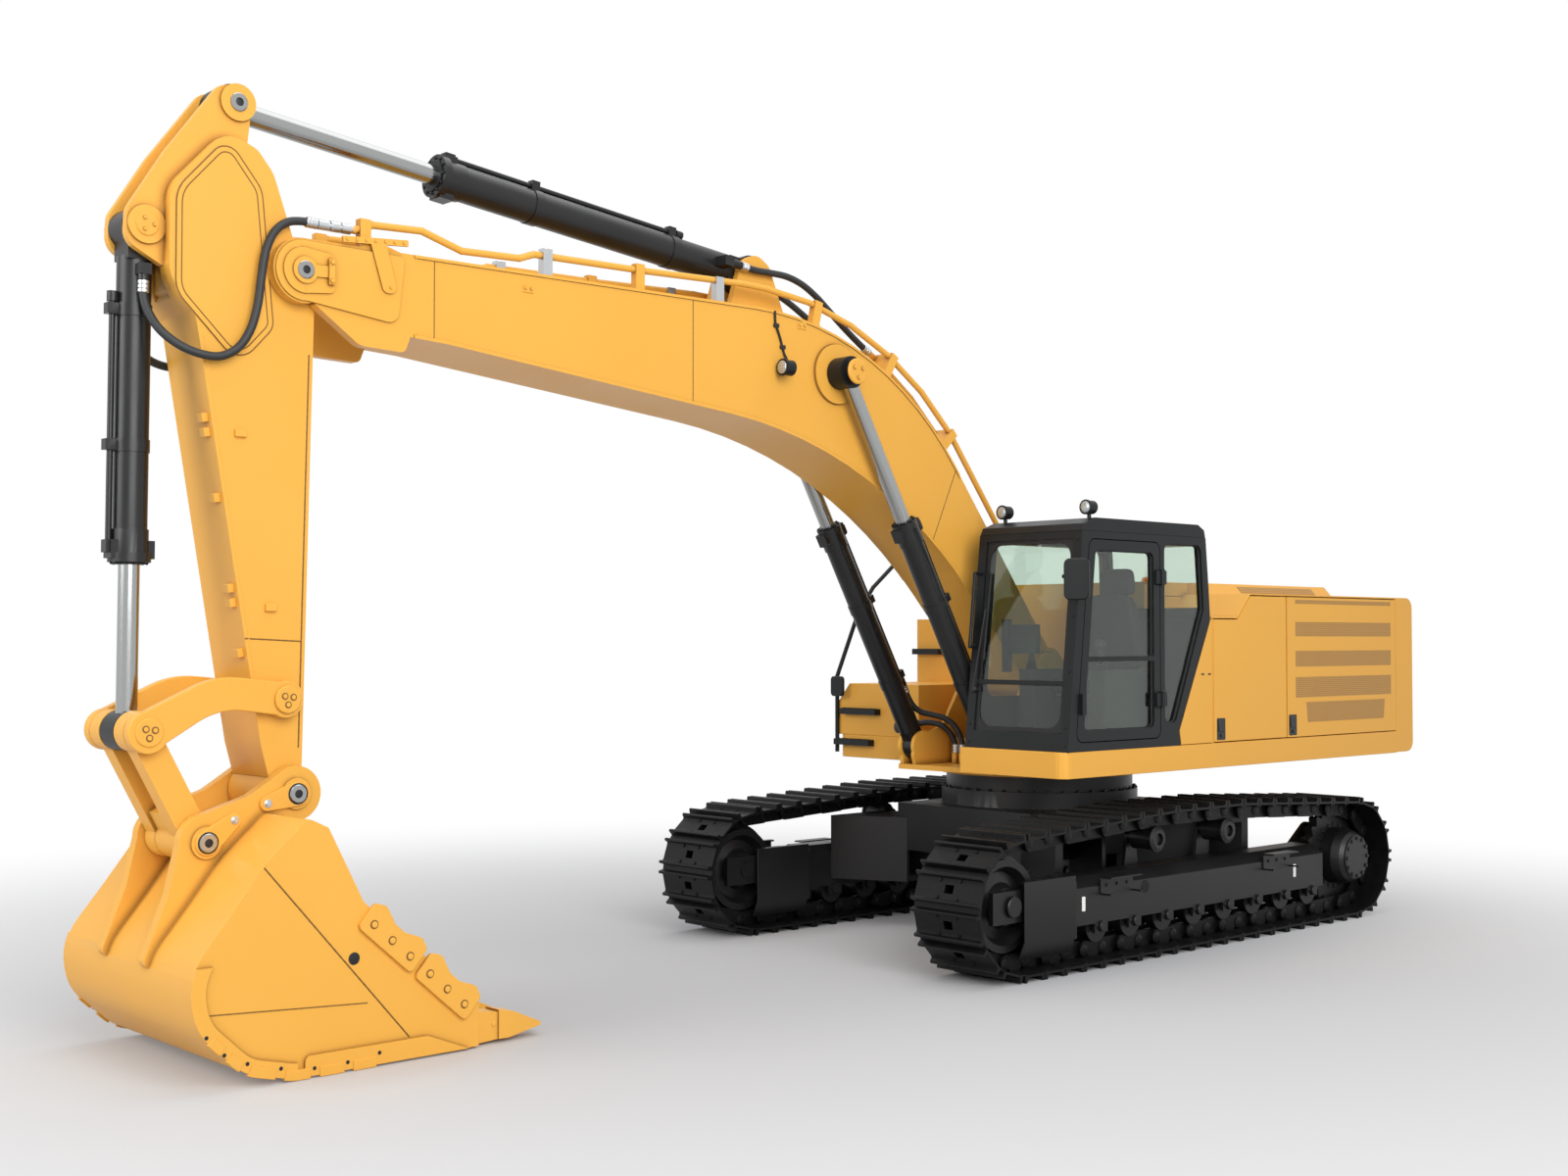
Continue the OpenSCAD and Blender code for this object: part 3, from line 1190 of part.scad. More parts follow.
stick_outline = rounded([[6790, 1560, 0], [6990, 1560, 0], [7041, 1746, 200], [7447, 4138, 300],
    [7595, 4300, 200], [7595, 4805, 200], [7274, 5164, 160], [7085, 5084, 100], [6989, 4967, 200],
    [6731, 4226, 200]], 5);
stick_boss_r = 150;
stick_hub_r = 200;
lug_boss_r = 105;
side_pin_r = 48;
eye_room_r = 190;
neck_x = pin_bucket_cyl.x - bucket_barrel_r - 60;
neck_z = 4150;
lug_outline = rounded([[7120, 4900, 0], [7120, 5060, 0], [7090, 5320, 60], [7173, 5475, 105],
    [7290, 5420, 60],
    [7589, 5006, 500], [7800, 4660, 100], [7810, 4480, 110], [7600, 4370, 60], [7400, 4400, 0]], 5);
// Plate that thickens the sides round the boom pin
doubler_t = 4;
doubler = rounded([[6985, 4090, 90], [7190, 3860, 120], [7560, 4230, 160], [7560, 4790, 200],
    [7270, 5120, 90],
    [7060, 4860, 160]], 5);
// Insides of the stick's box, below and above the boom pin
stick_low_z = 2130;
stick_high_z = 4150;
function rear_x_at(z) = 6790 + (6731 - 6790) * (z - 1560) / (4226 - 1560) + stick_t + 4;
function front_x_at(z) = 7041 + (7447 - 7041) * (z - 1746) / (4138 - 1746) - stick_t - 4;
stick_inside = [[[rear_x_at(stick_low_z), stick_low_z], [front_x_at(stick_low_z), stick_low_z],
    [front_x_at(stick_high_z), stick_high_z], [rear_x_at(stick_high_z), stick_high_z]],
    [[7080, 4250], [7420, 4250], [7480, 4330], [7480, 4820], [7280, 5050], [7130, 5010], [7060, 4880]]];
module stick() {
    lug_y1 = lug_gap + lug_t;
    bore_y = stick_half_w + doubler_t + 1;
    color(paint_yellow) difference() {
        union() {
            xz(-stick_half_w, stick_half_w) union() {
                polygon(stick_outline);
                translate(pin_bucket) circle(stick_boss_r);
                translate(pin_stick) circle(stick_hub_r);
            }
            xz(-stick_half_w - doubler_t, stick_half_w + doubler_t) {
                polygon(doubler);
                translate(pin_bucket) circle(stick_boss_r - 8);
            }
            xz(-lug_y1, lug_y1) polygon(lug_outline);
            for (p = [pin_stick_rod, pin_bucket_cyl]) bar(p, lug_boss_r, -lug_y1 - 16, lug_y1 + 16);
        }
        for (hollow = stick_inside) xz(-stick_half_w + stick_t, stick_half_w - stick_t) polygon(hollow);
        for (p = [pin_stick, pin_bucket]) bar(p, main_pin_r + pin_gap, -bore_y, bore_y);
        // Room between the lugs for both cylinders' eyes and the bucket cylinder's neck
        xz(-lug_gap, lug_gap) union() {
            difference() {
                polygon([[6900, 5010], [6900, 5700], [8000, 5700], [8000, neck_z], [7545, neck_z],
                    [7400, 4800]]);
                polygon(inset(stick_outline, stick_t / 2));
            }
            translate(pin_bucket_cyl) circle(eye_room_r);
            translate([neck_x, neck_z]) square([400, pin_bucket_cyl.y - neck_z]);
        }
    }
    color(paint_yellow) {
        bar(pin_bucket_cyl, main_pin_r, -lug_gap - 1, lug_gap + 1);
        bar(pin_side_link, side_pin_r, -link_y1 - 12, link_y1 + 12);
    }
}

link_y0 = 232;
link_y1 = 298;
module side_links() {
    mid = (pin_side_link + pin_link_end) / 2 + [20, 150];
    color(paint_yellow) pair() difference() {
        xz(link_y0, link_y1) union() {
            translate(pin_side_link) circle(105);
            translate(pin_link_end) circle(115);
            polygon(rounded([[6905, 2090, 0], [mid.x, mid.y + 70, 500], [7770, 1935, 0], [7680, 1740, 0],
                [mid.x - 20, mid.y - 110, 400], [6935, 1905, 0]], 6));
        }
        bar(pin_side_link, side_pin_r + pin_gap, link_y0 - 1, link_y1 + 1);
    }
}
arm_y0 = 100;
arm_y1 = 222;
module power_link() {
    reach = norm(pin_link_end - pin_power_link);
    end_r = 112;
    arm_w = 160;
    color(paint_yellow) aim(pin_power_link, pin_link_end) difference() {
        union() {
            pair() xz(arm_y0, arm_y1) union() {
                circle(end_r);
                translate([reach, 0]) circle(end_r);
                translate([0, -arm_w / 2]) square([reach, arm_w]);
            }
            // Hub and cross plate that join the two arms
            bar([0, 0], end_r - 4, -arm_y0 - 10, arm_y0 + 10);
            xz(-arm_y0 - 10, arm_y0 + 10) translate([0, -arm_w / 2 + 20]) square([200, arm_w - 40]);
        }
        bar([0, 0], main_pin_r + pin_gap, -arm_y1 - 1, arm_y1 + 1);
    }
}

// Bucket outline seen from the left: mouth at the left, heel at the right
lip_x = 5985;
lip_t = 63;
floor_z = 12;
mouth_top = [6943, 1321];
mouth_bend = [6727, 902];
mouth_low = [lip_x, 250];
bucket_outline = rounded([[mouth_top.x, mouth_top.y, 0], [mouth_bend.x, mouth_bend.y, 0],
    [mouth_low.x, mouth_low.y, 0], [lip_x, floor_z, 0], [7150, floor_z, 300], [7427, 80, 300],
    [7690, 330, 300],
    [7740, 606, 330], [7500, 907, 300], [7314, 1152, 250], [7063, 1379, 40]], 6);
wear_t = 16;
heel_rim = 80;
module bucket() {
    in_y = bucket_half_w - bucket_side_t;
    color(paint_yellow) {
        pair() xz(in_y, bucket_half_w) polygon(bucket_outline);
        difference() {
            xz(-in_y, in_y) difference() {
                polygon(bucket_outline);
                polygon(inset(bucket_outline, wrapper_t));
                polygon([mouth_top + [-300, 100], mouth_top + [wrapper_t + 6, -15],
                    mouth_bend + [wrapper_t + 12, -17],
                    mouth_low + [wrapper_t + 4, -28], [lip_x + wrapper_t + 4, floor_z + wrapper_t],
                    [lip_x - 300, floor_z + wrapper_t]]);
            }
            bar(pin_bucket, 262, -ear_y, ear_y);
        }
        xz(-in_y, in_y) translate([lip_x, floor_z]) square([365, lip_t]);
        pair() {
            bucket_ear();
            // Heel rim, lower wear plate and corner plate, proud of the side
            xz(in_y, bucket_half_w + wear_t) intersection() {
                ring_2d(bucket_outline, inset(bucket_outline, heel_rim));
                translate([7120, floor_z]) square([800, 640]);
            }
            xz(in_y, bucket_half_w + wear_t) polygon(rounded([[6060, floor_z, 0], [7080, floor_z, 0],
                [7080, floor_z + 110, 30], [6330, floor_z + 110, 60]]));
        }
    }
}
ear_collar_r = 88;
module bucket_ear() {
    xz(ear_y, ear_y + ear_t) union() {
        translate(pin_bucket) circle(155);
        translate(pin_power_link) circle(150);
        polygon(rounded([[6960, 1345, 0], [7260, 1190, 0], [7480, 880, 60], [7700, 580, 0], [7745, 620, 40],
            [7610, 960, 120], [7540, 1260, 0], [7470, 1370, 0], [7150, 1470, 200], [6930, 1610, 0]]));
    }
    // Pin collars outside the ear
    for (p = [pin_bucket, pin_power_link]) bar(p, ear_collar_r, ear_y + ear_t / 2, ear_y + ear_t + 14);
    bar(pin_bucket, main_pin_r, 0, ear_y + 1);
    bar(pin_power_link, main_pin_r, 0, ear_y + 1);
}
module bucket_teeth() {
    half_w = 60;
    margin = 100;
    step = (2 * bucket_half_w - 2 * margin) / (tooth_count - 1);
    lip_top = floor_z + lip_t;
    base_x = 5719;
    tip_x = 5517;
    tip_half_w = 42;
    color(paint_yellow) for (i = [0 : tooth_count - 1]) translate([0, -bucket_half_w + margin + i * step,
        0]) {
        // Adapter
        xz(-half_w, half_w) polygon(rounded([[lip_x, floor_z + 2, 0], [lip_x, lip_top, 0],
            [lip_x + 245, lip_top, 0],
            [lip_x + 215, lip_top + 40, 20], [lip_x + 35, 205, 40], [base_x + 60, 172, 0],
            [base_x + 60, 26, 0]]));
        // Tip, narrower to its edge
        intersection() {
            xz(-half_w - 14, half_w + 14) polygon([[base_x + 110, 24], [base_x + 110, 192], [base_x, 168],
                [tip_x, 78], [tip_x + 3, 58], [base_x + 41, 22]]);
            linear_extrude(lip_top + 240) polygon([[base_x + 110, -half_w - 10],
                [base_x + 110, half_w + 10],
                [base_x + 20, half_w + 6], [tip_x, tip_half_w], [tip_x, -tip_half_w],
                [base_x + 20, -half_w - 6]]);
        }
    }
}
module side_cutters() {
    plate = 28;
    length = 440;
    back = -130;
    edge = rounded([[0, back, 30], [length, back, 30], [length, 30, 30], [length - 70, 62, 40],
        [length / 2 + 40, 18, 60],
        [length / 2 - 40, 18, 60], [70, 62, 40], [0, 30, 30]]);
    color(paint_yellow) for (start = [30, 500]) pair() aim(mouth_low, mouth_bend) translate([start, 0, 0])
        xz(bucket_half_w, bucket_half_w + plate) polygon(edge);
}

carbody();
swing_bearing();
track_frames();
track_left();
track_right();
track_rollers();
idlers();
sprockets();
final_drives();
main_frame();
deck();
counterweight();
engine_block();
house_panels();
engine_hood();
left_front_door();
left_rear_door();
right_rear_door();
fuel_tank();
hydraulic_tank();
tool_box();
handrails();
mirrors();
cab_shell();
cab_roof();
cab_glass();
cab_door();
cab_door_glass();
operator_seat();
cab_controls();
work_lamps();
boom();
boom_lines();
boom_lamp();
boom_cylinder_barrels();
boom_cylinder_rods();
stick_cylinder_barrel();
stick_cylinder_rod();
stick();
bucket_cylinder_barrel();
bucket_cylinder_rod();
side_links();
power_link();
bucket();
bucket_teeth();
side_cutters();
left_bucket_hose();
right_bucket_hose();
left_stick_hose();
right_stick_hose();
left_lower_boom_hose();
right_lower_boom_hose();
left_upper_boom_hose();
right_upper_boom_hose();
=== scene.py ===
import json
import math

import bmesh
import bpy
import numpy as np
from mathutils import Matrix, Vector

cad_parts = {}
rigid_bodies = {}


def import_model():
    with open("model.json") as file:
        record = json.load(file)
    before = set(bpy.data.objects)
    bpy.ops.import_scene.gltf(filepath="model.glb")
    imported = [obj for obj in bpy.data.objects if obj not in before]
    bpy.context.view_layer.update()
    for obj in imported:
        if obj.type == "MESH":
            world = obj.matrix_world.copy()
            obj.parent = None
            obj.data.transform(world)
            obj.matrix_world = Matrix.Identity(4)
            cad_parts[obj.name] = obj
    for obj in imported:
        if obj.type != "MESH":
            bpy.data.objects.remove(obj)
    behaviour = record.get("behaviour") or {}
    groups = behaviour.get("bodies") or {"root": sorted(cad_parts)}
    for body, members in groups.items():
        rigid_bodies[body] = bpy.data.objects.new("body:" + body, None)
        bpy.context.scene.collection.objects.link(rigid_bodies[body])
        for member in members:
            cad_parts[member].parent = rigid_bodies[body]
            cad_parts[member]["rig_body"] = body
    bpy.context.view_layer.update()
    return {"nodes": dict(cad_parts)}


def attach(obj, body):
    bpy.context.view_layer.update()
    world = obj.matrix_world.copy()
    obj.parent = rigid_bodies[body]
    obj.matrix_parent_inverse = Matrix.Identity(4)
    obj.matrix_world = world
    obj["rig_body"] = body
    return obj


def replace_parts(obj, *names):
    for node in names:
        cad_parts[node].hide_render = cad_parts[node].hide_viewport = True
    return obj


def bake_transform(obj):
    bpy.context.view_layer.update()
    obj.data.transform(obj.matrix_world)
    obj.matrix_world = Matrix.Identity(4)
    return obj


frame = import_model()
nodes = frame["nodes"]


# Studio paper: one wide sheet of pale matte paper under the machine, lit by soft overhead
# boxes. It fades to plain white far from the machine, so no horizon shows.
def linear(hex_colour):
    """sRGB hex to linear RGBA: v / 12.92 below 0.04045, else ((v + 0.055) / 1.055) to the 2.4."""
    v = np.array([int(hex_colour[i:i + 2], 16) for i in (1, 3, 5)]) / 255
    rgb = np.where(v <= 0.04045, v / 12.92, ((v + 0.055) / 1.055) ** 2.4)
    return (*rgb.tolist(), 1.0)


def node_adder(tree):
    """Clears a node tree, and gives the function that adds nodes to it."""
    tree.nodes.clear()

    def add(kind, inputs=None, **settings):
        """Adds a shader node; a node given as input stands for its first live output, a hex for its colour."""
        node = tree.nodes.new("ShaderNode" + kind)
        for name, value in settings.items():
            setattr(node, name, value)
        for name, value in (inputs or {}).items():
            if isinstance(value, bpy.types.Node):
                value = next(output for output in value.outputs if output.enabled)
            if isinstance(value, bpy.types.NodeSocket):
                tree.links.new(value, node.inputs[name])
            else:
                node.inputs[name].default_value = linear(value) if isinstance(value, str) else value
        return node

    return add


def new_material(name):
    """A node material, the function that adds its nodes, and the place in the object, in m."""
    material = bpy.data.materials.new(name)
    material.use_nodes = True
    add = node_adder(material.node_tree)
    return material, add, add("TexCoord").outputs["Object"]


def seen_rays(add):
    """1 for camera, glossy and transmission rays, which show the backdrop, and 0 for the light's own."""
    path = add("LightPath").outputs
    either = add("Math", {0: path["Is Camera Ray"], 1: path["Is Glossy Ray"]}, operation="MAXIMUM")
    return add("Math", {0: either, 1: path["Is Transmission Ray"]}, operation="MAXIMUM")


def in_scene(name, data):
    """A new object in the scene that shows the data."""
    made = bpy.data.objects.new(name, data)
    bpy.context.scene.collection.objects.link(made)
    return made


PAPER_HALF = 400.0
PAPER_FADE_FROM = 2.0
PAPER_FADE_TO = 12.0
PAPER_CENTRE = (3.0, 0.8, 0.0)
paper, add, place = new_material("matte_studio_paper")
offset = add("VectorMath", {0: place, 1: PAPER_CENTRE}, operation="SUBTRACT")
reach = add("VectorMath", {0: offset}, operation="LENGTH")
far = add("MapRange", {"Value": reach, "From Min": PAPER_FADE_FROM, "From Max": PAPER_FADE_TO},
          interpolation_type="SMOOTHSTEP")
faded = add("Math", {0: far, 1: seen_rays(add)}, operation="MULTIPLY")
matte = add("BsdfDiffuse", {"Color": "#c4c4c5"})
white = add("Emission", {"Color": "#ffffff", "Strength": 1.0})
mixed = add("MixShader", {0: faded, 1: matte, 2: white})
add("OutputMaterial", {"Surface": mixed})
sheet = bpy.data.meshes.new("studio_paper")
sheet.from_pydata([(x * PAPER_HALF, y * PAPER_HALF, 0) for x, y in ((-1, -1), (1, -1), (1, 1), (-1, 1))],
                  [], [(0, 1, 2, 3)])
sheet.materials.append(paper)
in_scene("studio_paper", sheet)

# Studio light: an even pale room, and large soft boxes above and beside the machine. The
# strongest stands to the machine's left, so that its left faces are the brightest.
world = bpy.data.worlds.new("studio_room")
bpy.context.scene.world = world
world.use_nodes = True
add = node_adder(world.node_tree)
room = add("Background", {"Color": "#f4f6fa", "Strength": 0.42})
backdrop = add("Background", {"Color": "#ffffff", "Strength": 1.0})
shown = add("MixShader", {0: seen_rays(add), 1: room, 2: backdrop})
add("OutputWorld", {"Surface": shown})


def soft_box(name, place, aim, size, power):
    """A square area lamp at place that faces aim."""
    lamp = bpy.data.lights.new(name, "AREA")
    lamp.size = size
    lamp.energy = power
    box = in_scene(name, lamp)
    box.location = place
    box.rotation_mode = "QUATERNION"
    box.rotation_quaternion = (Vector(aim) - Vector(place)).to_track_quat("-Z", "Y")


soft_box("left_box", (9.5, 15.5, 9.0), (4.0, 0.0, 2.0), 12.0, 2650)
soft_box("top_box", (2.0, 0.0, 17.0), (2.0, 0.0, 0.0), 16.0, 1100)
soft_box("front_box", (20.0, -2.0, 8.0), (3.0, 0.0, 2.0), 9.0, 1250)

# Camera: a little above a standing person's eyes, off the machine's front left corner, tilted
# up by under two degrees. Its place and focal length were fitted to the photo.
IMAGE_W = 1600
FOCAL_PX = 1873.08
CAMERA_PLACE = (11.8473, 9.7659, 2.3335)
CAMERA_YAW = 3.968619
CAMERA_PITCH = 0.0279401
lens = bpy.data.cameras.new("photo_camera")
lens.sensor_width = 36.0
lens.lens = FOCAL_PX / IMAGE_W * lens.sensor_width
lens.clip_end = 2000.0
camera = in_scene("photo_camera", lens)
camera.location = CAMERA_PLACE
camera.rotation_euler = (math.pi / 2 + CAMERA_PITCH, 0.0, CAMERA_YAW - math.pi / 2)
bpy.context.scene.camera = camera
bpy.context.scene.view_settings.view_transform = "Standard"

# Tracks: 52 rolled shoes a side, each with two grouser bars, a mud hole and four bolts, on a
# chain of forged links. The pins sit at equal steps round idler, carrier rollers and sprocket.
MM = 0.001
AHEAD = (1, 0, 0)
LEFT = (0, 1, 0)
UP = (0, 0, 1)


def unit(v):
    """Vectors along the last axis, each divided by its length."""
    return v / np.linalg.norm(v, axis=-1, keepdims=True)


def joined(*shapes):
    """Several shapes, each of points and faces, as one."""
    points = np.vstack([shape[0] for shape in shapes])
    starts = np.cumsum([0] + [len(shape[0]) for shape in shapes[:-1]]).tolist()
    return points, [[i + start for i in face] for start, shape in zip(starts, shapes) for face in shape[1]]


def ring_faces(rings, sides, closed=False):
    """Quads between neighbouring rings of points; the ends close flat, or the last ring meets the first."""
    i, k = np.meshgrid(np.arange(rings if closed else rings - 1), np.arange(sides), indexing="ij")
    j, n = (i + 1) % rings, (k + 1) % sides
    quads = np.stack([i * sides + k, i * sides + n, j * sides + n, j * sides + k], -1).reshape(-1, 4).tolist()
    ends = [list(range(sides))[::-1], list(range((rings - 1) * sides, rings * sides))]
    return quads if closed else quads + ends


def turned(profile, sides=24):
    """Turned form round z: each (radius, height) of the profile gives the ring r cos a, r sin a, h."""
    r, h = np.array(profile, float).T
    a = 2 * np.pi * np.arange(sides) / sides
    points = np.stack([np.outer(r, np.cos(a)), np.outer(r, np.sin(a)), np.outer(h, np.ones(sides))], -1)
    return points.reshape(-1, 3), ring_faces(len(r), sides)


def button(r, face_r, low, high, face, sides):
    """Turned form of radius r from low to high, with a chamfer up to its face of radius face_r."""
    return turned([(r, low), (r, high), (face_r, face)], sides)


def spread(shape, places, along):
    """Copies of a shape at many places, each turned so that its z runs along the direction given."""
    points, faces = shape
    places = np.atleast_2d(np.array(places, float))
    z = np.broadcast_to(unit(np.atleast_2d(np.array(along, float))), places.shape)
    x = unit(np.cross(np.where(np.abs(z[:, 2:]) < 0.9, [[0.0, 0.0, 1.0]], [[1.0, 0.0, 0.0]]), z))
    y = np.cross(z, x)
    moved = sum(points[None, :, k:k + 1] * axis[:, None] for k, axis in enumerate((x, y, z))) + places[:, None]
    starts = range(0, len(places) * len(points), len(points))
    return moved.reshape(-1, 3), [[i + start for i in face] for start in starts for face in faces]


def bolt(r, h):
    """Hexagon bolt head on a round washer: two turned forms, of 12 and of 6 sides."""
    washer = button(1.4 * r, 1.3 * r, 0, 0.18 * h, 0.26 * h, 12)
    return joined(washer, button(r, 0.86 * r, 0.1 * h, 0.84 * h, h, 6))


def piece(name, shape, material, slot, body, sharp=32):
    """A piece from points in mm and faces: normals turned outwards, corners over the angle kept sharp."""
    mesh = bpy.data.meshes.new(name)
    mesh.from_pydata((shape[0] * MM).tolist(), [], shape[1])
    work = bmesh.new()
    work.from_mesh(mesh)
    bmesh.ops.recalc_face_normals(work, faces=work.faces)
    work.to_mesh(mesh)
    work.free()
    mesh.materials.append(material)
    mesh.shade_smooth()
    mesh.set_sharp_from_angle(angle=math.radians(sharp))
    made = in_scene(name, mesh)
    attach(made, body)
    return made


def sprayed_paint(name, dark, light, rough, cloud_mm, peel_mm, peel, shine=0.4, corner=None):
    """Sprayed paint: two near tones in soft clouds, roughness that drifts with them, and orange peel.

    Where corner gives a colour, the paint nears it in inner corners, by the share of open sky within 60 mm:
    this darkening is painted shade."""
    material, add, place = new_material(name)
    cloud = add("TexNoise", {"Vector": place, "Scale": 1 / (cloud_mm * MM), "Detail": 4.0})
    colour = add("Mix", {"Factor": cloud, "A": dark, "B": light}, data_type="RGBA")
    gloss = add("MapRange", {"Value": cloud, "From Min": 0.3, "From Max": 0.7, "To Min": rough - 0.04,
                             "To Max": rough + 0.05})
    grain = add("TexNoise", {"Vector": place, "Scale": 1 / (peel_mm * MM), "Detail": 1.0})
    bump = add("Bump", {"Height": grain, "Strength": peel, "Distance": peel_mm * MM * 0.1})
    # Painted shade: ambient occlusion pulls the paint towards the corner colour where little open sky is seen
    if corner:
        corner_shade_ao = add("AmbientOcclusion", {"Distance": 60 * MM}, samples=8, only_local=True)
        sky = add("MapRange", {"Value": corner_shade_ao.outputs["AO"], "From Min": 0.4, "From Max": 0.95})
        colour = add("Mix", {"Factor": sky, "A": corner, "B": colour}, data_type="RGBA")
    paint = add("BsdfPrincipled", {"Base Color": colour, "Roughness": gloss, "Specular IOR Level": shine,
                                   "Normal": bump})
    add("OutputMaterial", {"Surface": paint})
    return material


# Heat-treated steel dipped in black paint: dull, with grey cast through the paint
track_steel = sprayed_paint("dipped_black_track_steel", "#09090a", "#121213", 0.42, 90, 12, 0.3, 0.2)

HALF_BASE = 2180.0
WHEEL_Z = 505.0
PITCH_R = 400.0
CARRIER_R = 155.0
CARRIER_Z = 838.0
CARRIER_XS = (454.0, -462.0)
TRACK_Y = 1370.0
RAIL_YS = (-90, 90)
SHOES = 52


def arc(centre, r, a):
    """Points at angles a on a circle round a centre."""
    return np.array(centre) + r * np.stack([np.cos(a), np.sin(a)], 1)


def loop_pins():
    """Chain pins at equal lengths along a loop of arcs round the four wheels, joined by straight runs."""
    rise = CARRIER_Z - WHEEL_Z
    slopes = [math.atan2(rise, d) + math.asin((CARRIER_R - PITCH_R) / math.hypot(d, rise))
              for d in (HALF_BASE - CARRIER_XS[0], HALF_BASE + CARRIER_XS[1])]
    quarter = np.pi / 2
    arcs = [((HALF_BASE, WHEEL_Z), PITCH_R, -quarter, quarter - slopes[0]),
            ((CARRIER_XS[0], CARRIER_Z), CARRIER_R, quarter - slopes[0], quarter),
            ((CARRIER_XS[1], CARRIER_Z), CARRIER_R, quarter, quarter + slopes[1]),
            ((-HALF_BASE, WHEEL_Z), PITCH_R, quarter + slopes[1], 3 * quarter)]
    turns = [arc(centre, r, np.linspace(start, end, 1500)) for centre, r, start, end in arcs]
    loop = np.vstack(turns + [[[HALF_BASE, WHEEL_Z - PITCH_R]]])
    length = np.concatenate([[0], np.cumsum(np.linalg.norm(np.diff(loop, axis=0), axis=1))])
    steps = np.arange(SHOES) / SHOES * length[-1]
    return np.stack([np.interp(steps, length, loop[:, k]) for k in (0, 1)], 1)


pins = loop_pins()
link_run = np.roll(pins, -1, 0) - pins
link_len = np.linalg.norm(link_run, axis=1)
link_dir = link_run / link_len[:, None]
link_out = np.stack([link_dir[:, 1], -link_dir[:, 0]], 1)


def on_links(share, along, out, across, faces, side):
    """One shape on every link: pin + (share of the link + along) t + out n, and across from the centre line."""
    s = share[None] * link_len[:, None] + along[None]
    flat = pins[:, None] + link_dir[:, None] * s[..., None] + link_out[:, None] * out[None, :, None]
    y = side * (TRACK_Y + np.broadcast_to(across, s.shape))
    points = np.stack([flat[..., 0], y, flat[..., 1]], -1).reshape(-1, 3)
    return points, [[i + k * len(share) for i in face] for k in range(SHOES) for face in faces]


def shoe_shape():
    """Shoe: a profile of a plate, two bars and a lip under the shoe before, at four stations, with a hole."""
    profile = np.array([(0, 22, 52), (0.5, -30, 52), (0.5, 30, 52), (1, -4, 52), (1, -4, 100), (1, -9, 105),
                        (1, -22, 105), (1, -27, 100), (1, -33, 74), (1, -46, 68), (0.5, 30, 68), (0.5, -30, 68),
                        (0, 46, 68), (0, 33, 74), (0, 27, 100), (0, 22, 105), (0, 9, 105), (0, 4, 100),
                        (0, 4, 54), (0, -36, 46), (0, -36, 39), (0, 4, 46)], float)
    stations = np.array([-300.0, -40.0, 40.0, 300.0])
    n = len(profile)
    quads = [[j * n + i, j * n + (i + 1) % n, (j + 1) * n + (i + 1) % n, (j + 1) * n + i]
             for j in range(3) for i in range(n) if not (j == 1 and i in (1, 10))]
    walls = [[n + 1, n + 2, n + 10, n + 11], [2 * n + 1, 2 * n + 2, 2 * n + 10, 2 * n + 11],
             [n + 1, 2 * n + 1, 2 * n + 11, n + 11], [n + 2, 2 * n + 2, 2 * n + 10, n + 10]]
    ends = [list(range(n)), list(range(3 * n, 4 * n))]
    share, along, out = np.tile(profile, (4, 1)).T
    return share, along, out, np.repeat(stations, n), quads + walls + ends


def shoe_bolts():
    """Four bolt heads on a shoe, at 62 mm from its middle and over each rail."""
    heads, faces = spread(bolt(13, 11), [(s, y, 68) for s in (-62, 62) for y in RAIL_YS], UP)
    return np.full(len(heads), 0.5), heads[:, 0], heads[:, 2], heads[:, 1], faces


def link_shape(rail):
    """Link: a dog-bone outline round two pins, 27 mm thick, in turn to one side of its rail and the other."""
    outline = np.array([(0, -36, -18), (0, -28, -40), (0, 4, -64), (1, -4, -64), (1, 28, -40), (1, 36, -18),
                        (1, 36, 14), (1, 20, 38), (1, -40, 30), (1, -60, 51), (0, 60, 51), (0, 40, 30),
                        (0, -20, 38), (0, -36, 14)], float)
    n = len(outline)
    share, along, out = np.tile(outline, (2, 1)).T
    offset = np.where(np.arange(SHOES) % 2, 15.0, -15.0)[:, None]
    across = rail + offset + np.repeat([-13.5, 13.5], n)[None]
    return share, along, out, across, ring_faces(2, n)


pin_form = turned([(18, -128), (23, -124), (23, -62), (35, -58), (35, 58), (23, 62), (23, 124), (18, 128)], 14)
pin_boss = button(44, 38, 119, 124, 127, 16)
for side, name in ((1, "left"), (-1, "right")):
    shoes = joined(on_links(*shoe_shape(), side), on_links(*shoe_bolts(), side))
    shoes = piece(name + "_track_shoes", shoes, track_steel, "track_steel", "undercarriage")
    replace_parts(shoes, "track_" + name)
    places = np.stack([pins[:, 0], np.full(SHOES, side * TRACK_Y), pins[:, 1]], 1)
    chain = [on_links(*link_shape(rail), side) for rail in RAIL_YS]
    chain += [spread(pin_form, places, LEFT)] + [spread(pin_boss, places, (0, s, 0)) for s in (1, -1)]
    piece(name + "_track_chain", joined(*chain), track_steel, "track_steel", "undercarriage")

# Undercarriage frames: welded beams and cast hubs under satin black paint, sprayed on a little
# uneven. The rollers' shafts, final drives and steps are held by hexagon bolts.
# Sprayed satin black: even and dark, with a soft sheen on the beams' flats
frame_paint = sprayed_paint("satin_black_frame_paint", "#0f0f10", "#171718", 0.4, 500, 14, 0.12)
on_frame = ("frame_black", "undercarriage")

# Angles between faces, in degrees: flat below the first, smooth below the second, rounded over the third
FLAT_DEG = 0.3
SMOOTH_DEG = 11
ROUND_DEG = 28


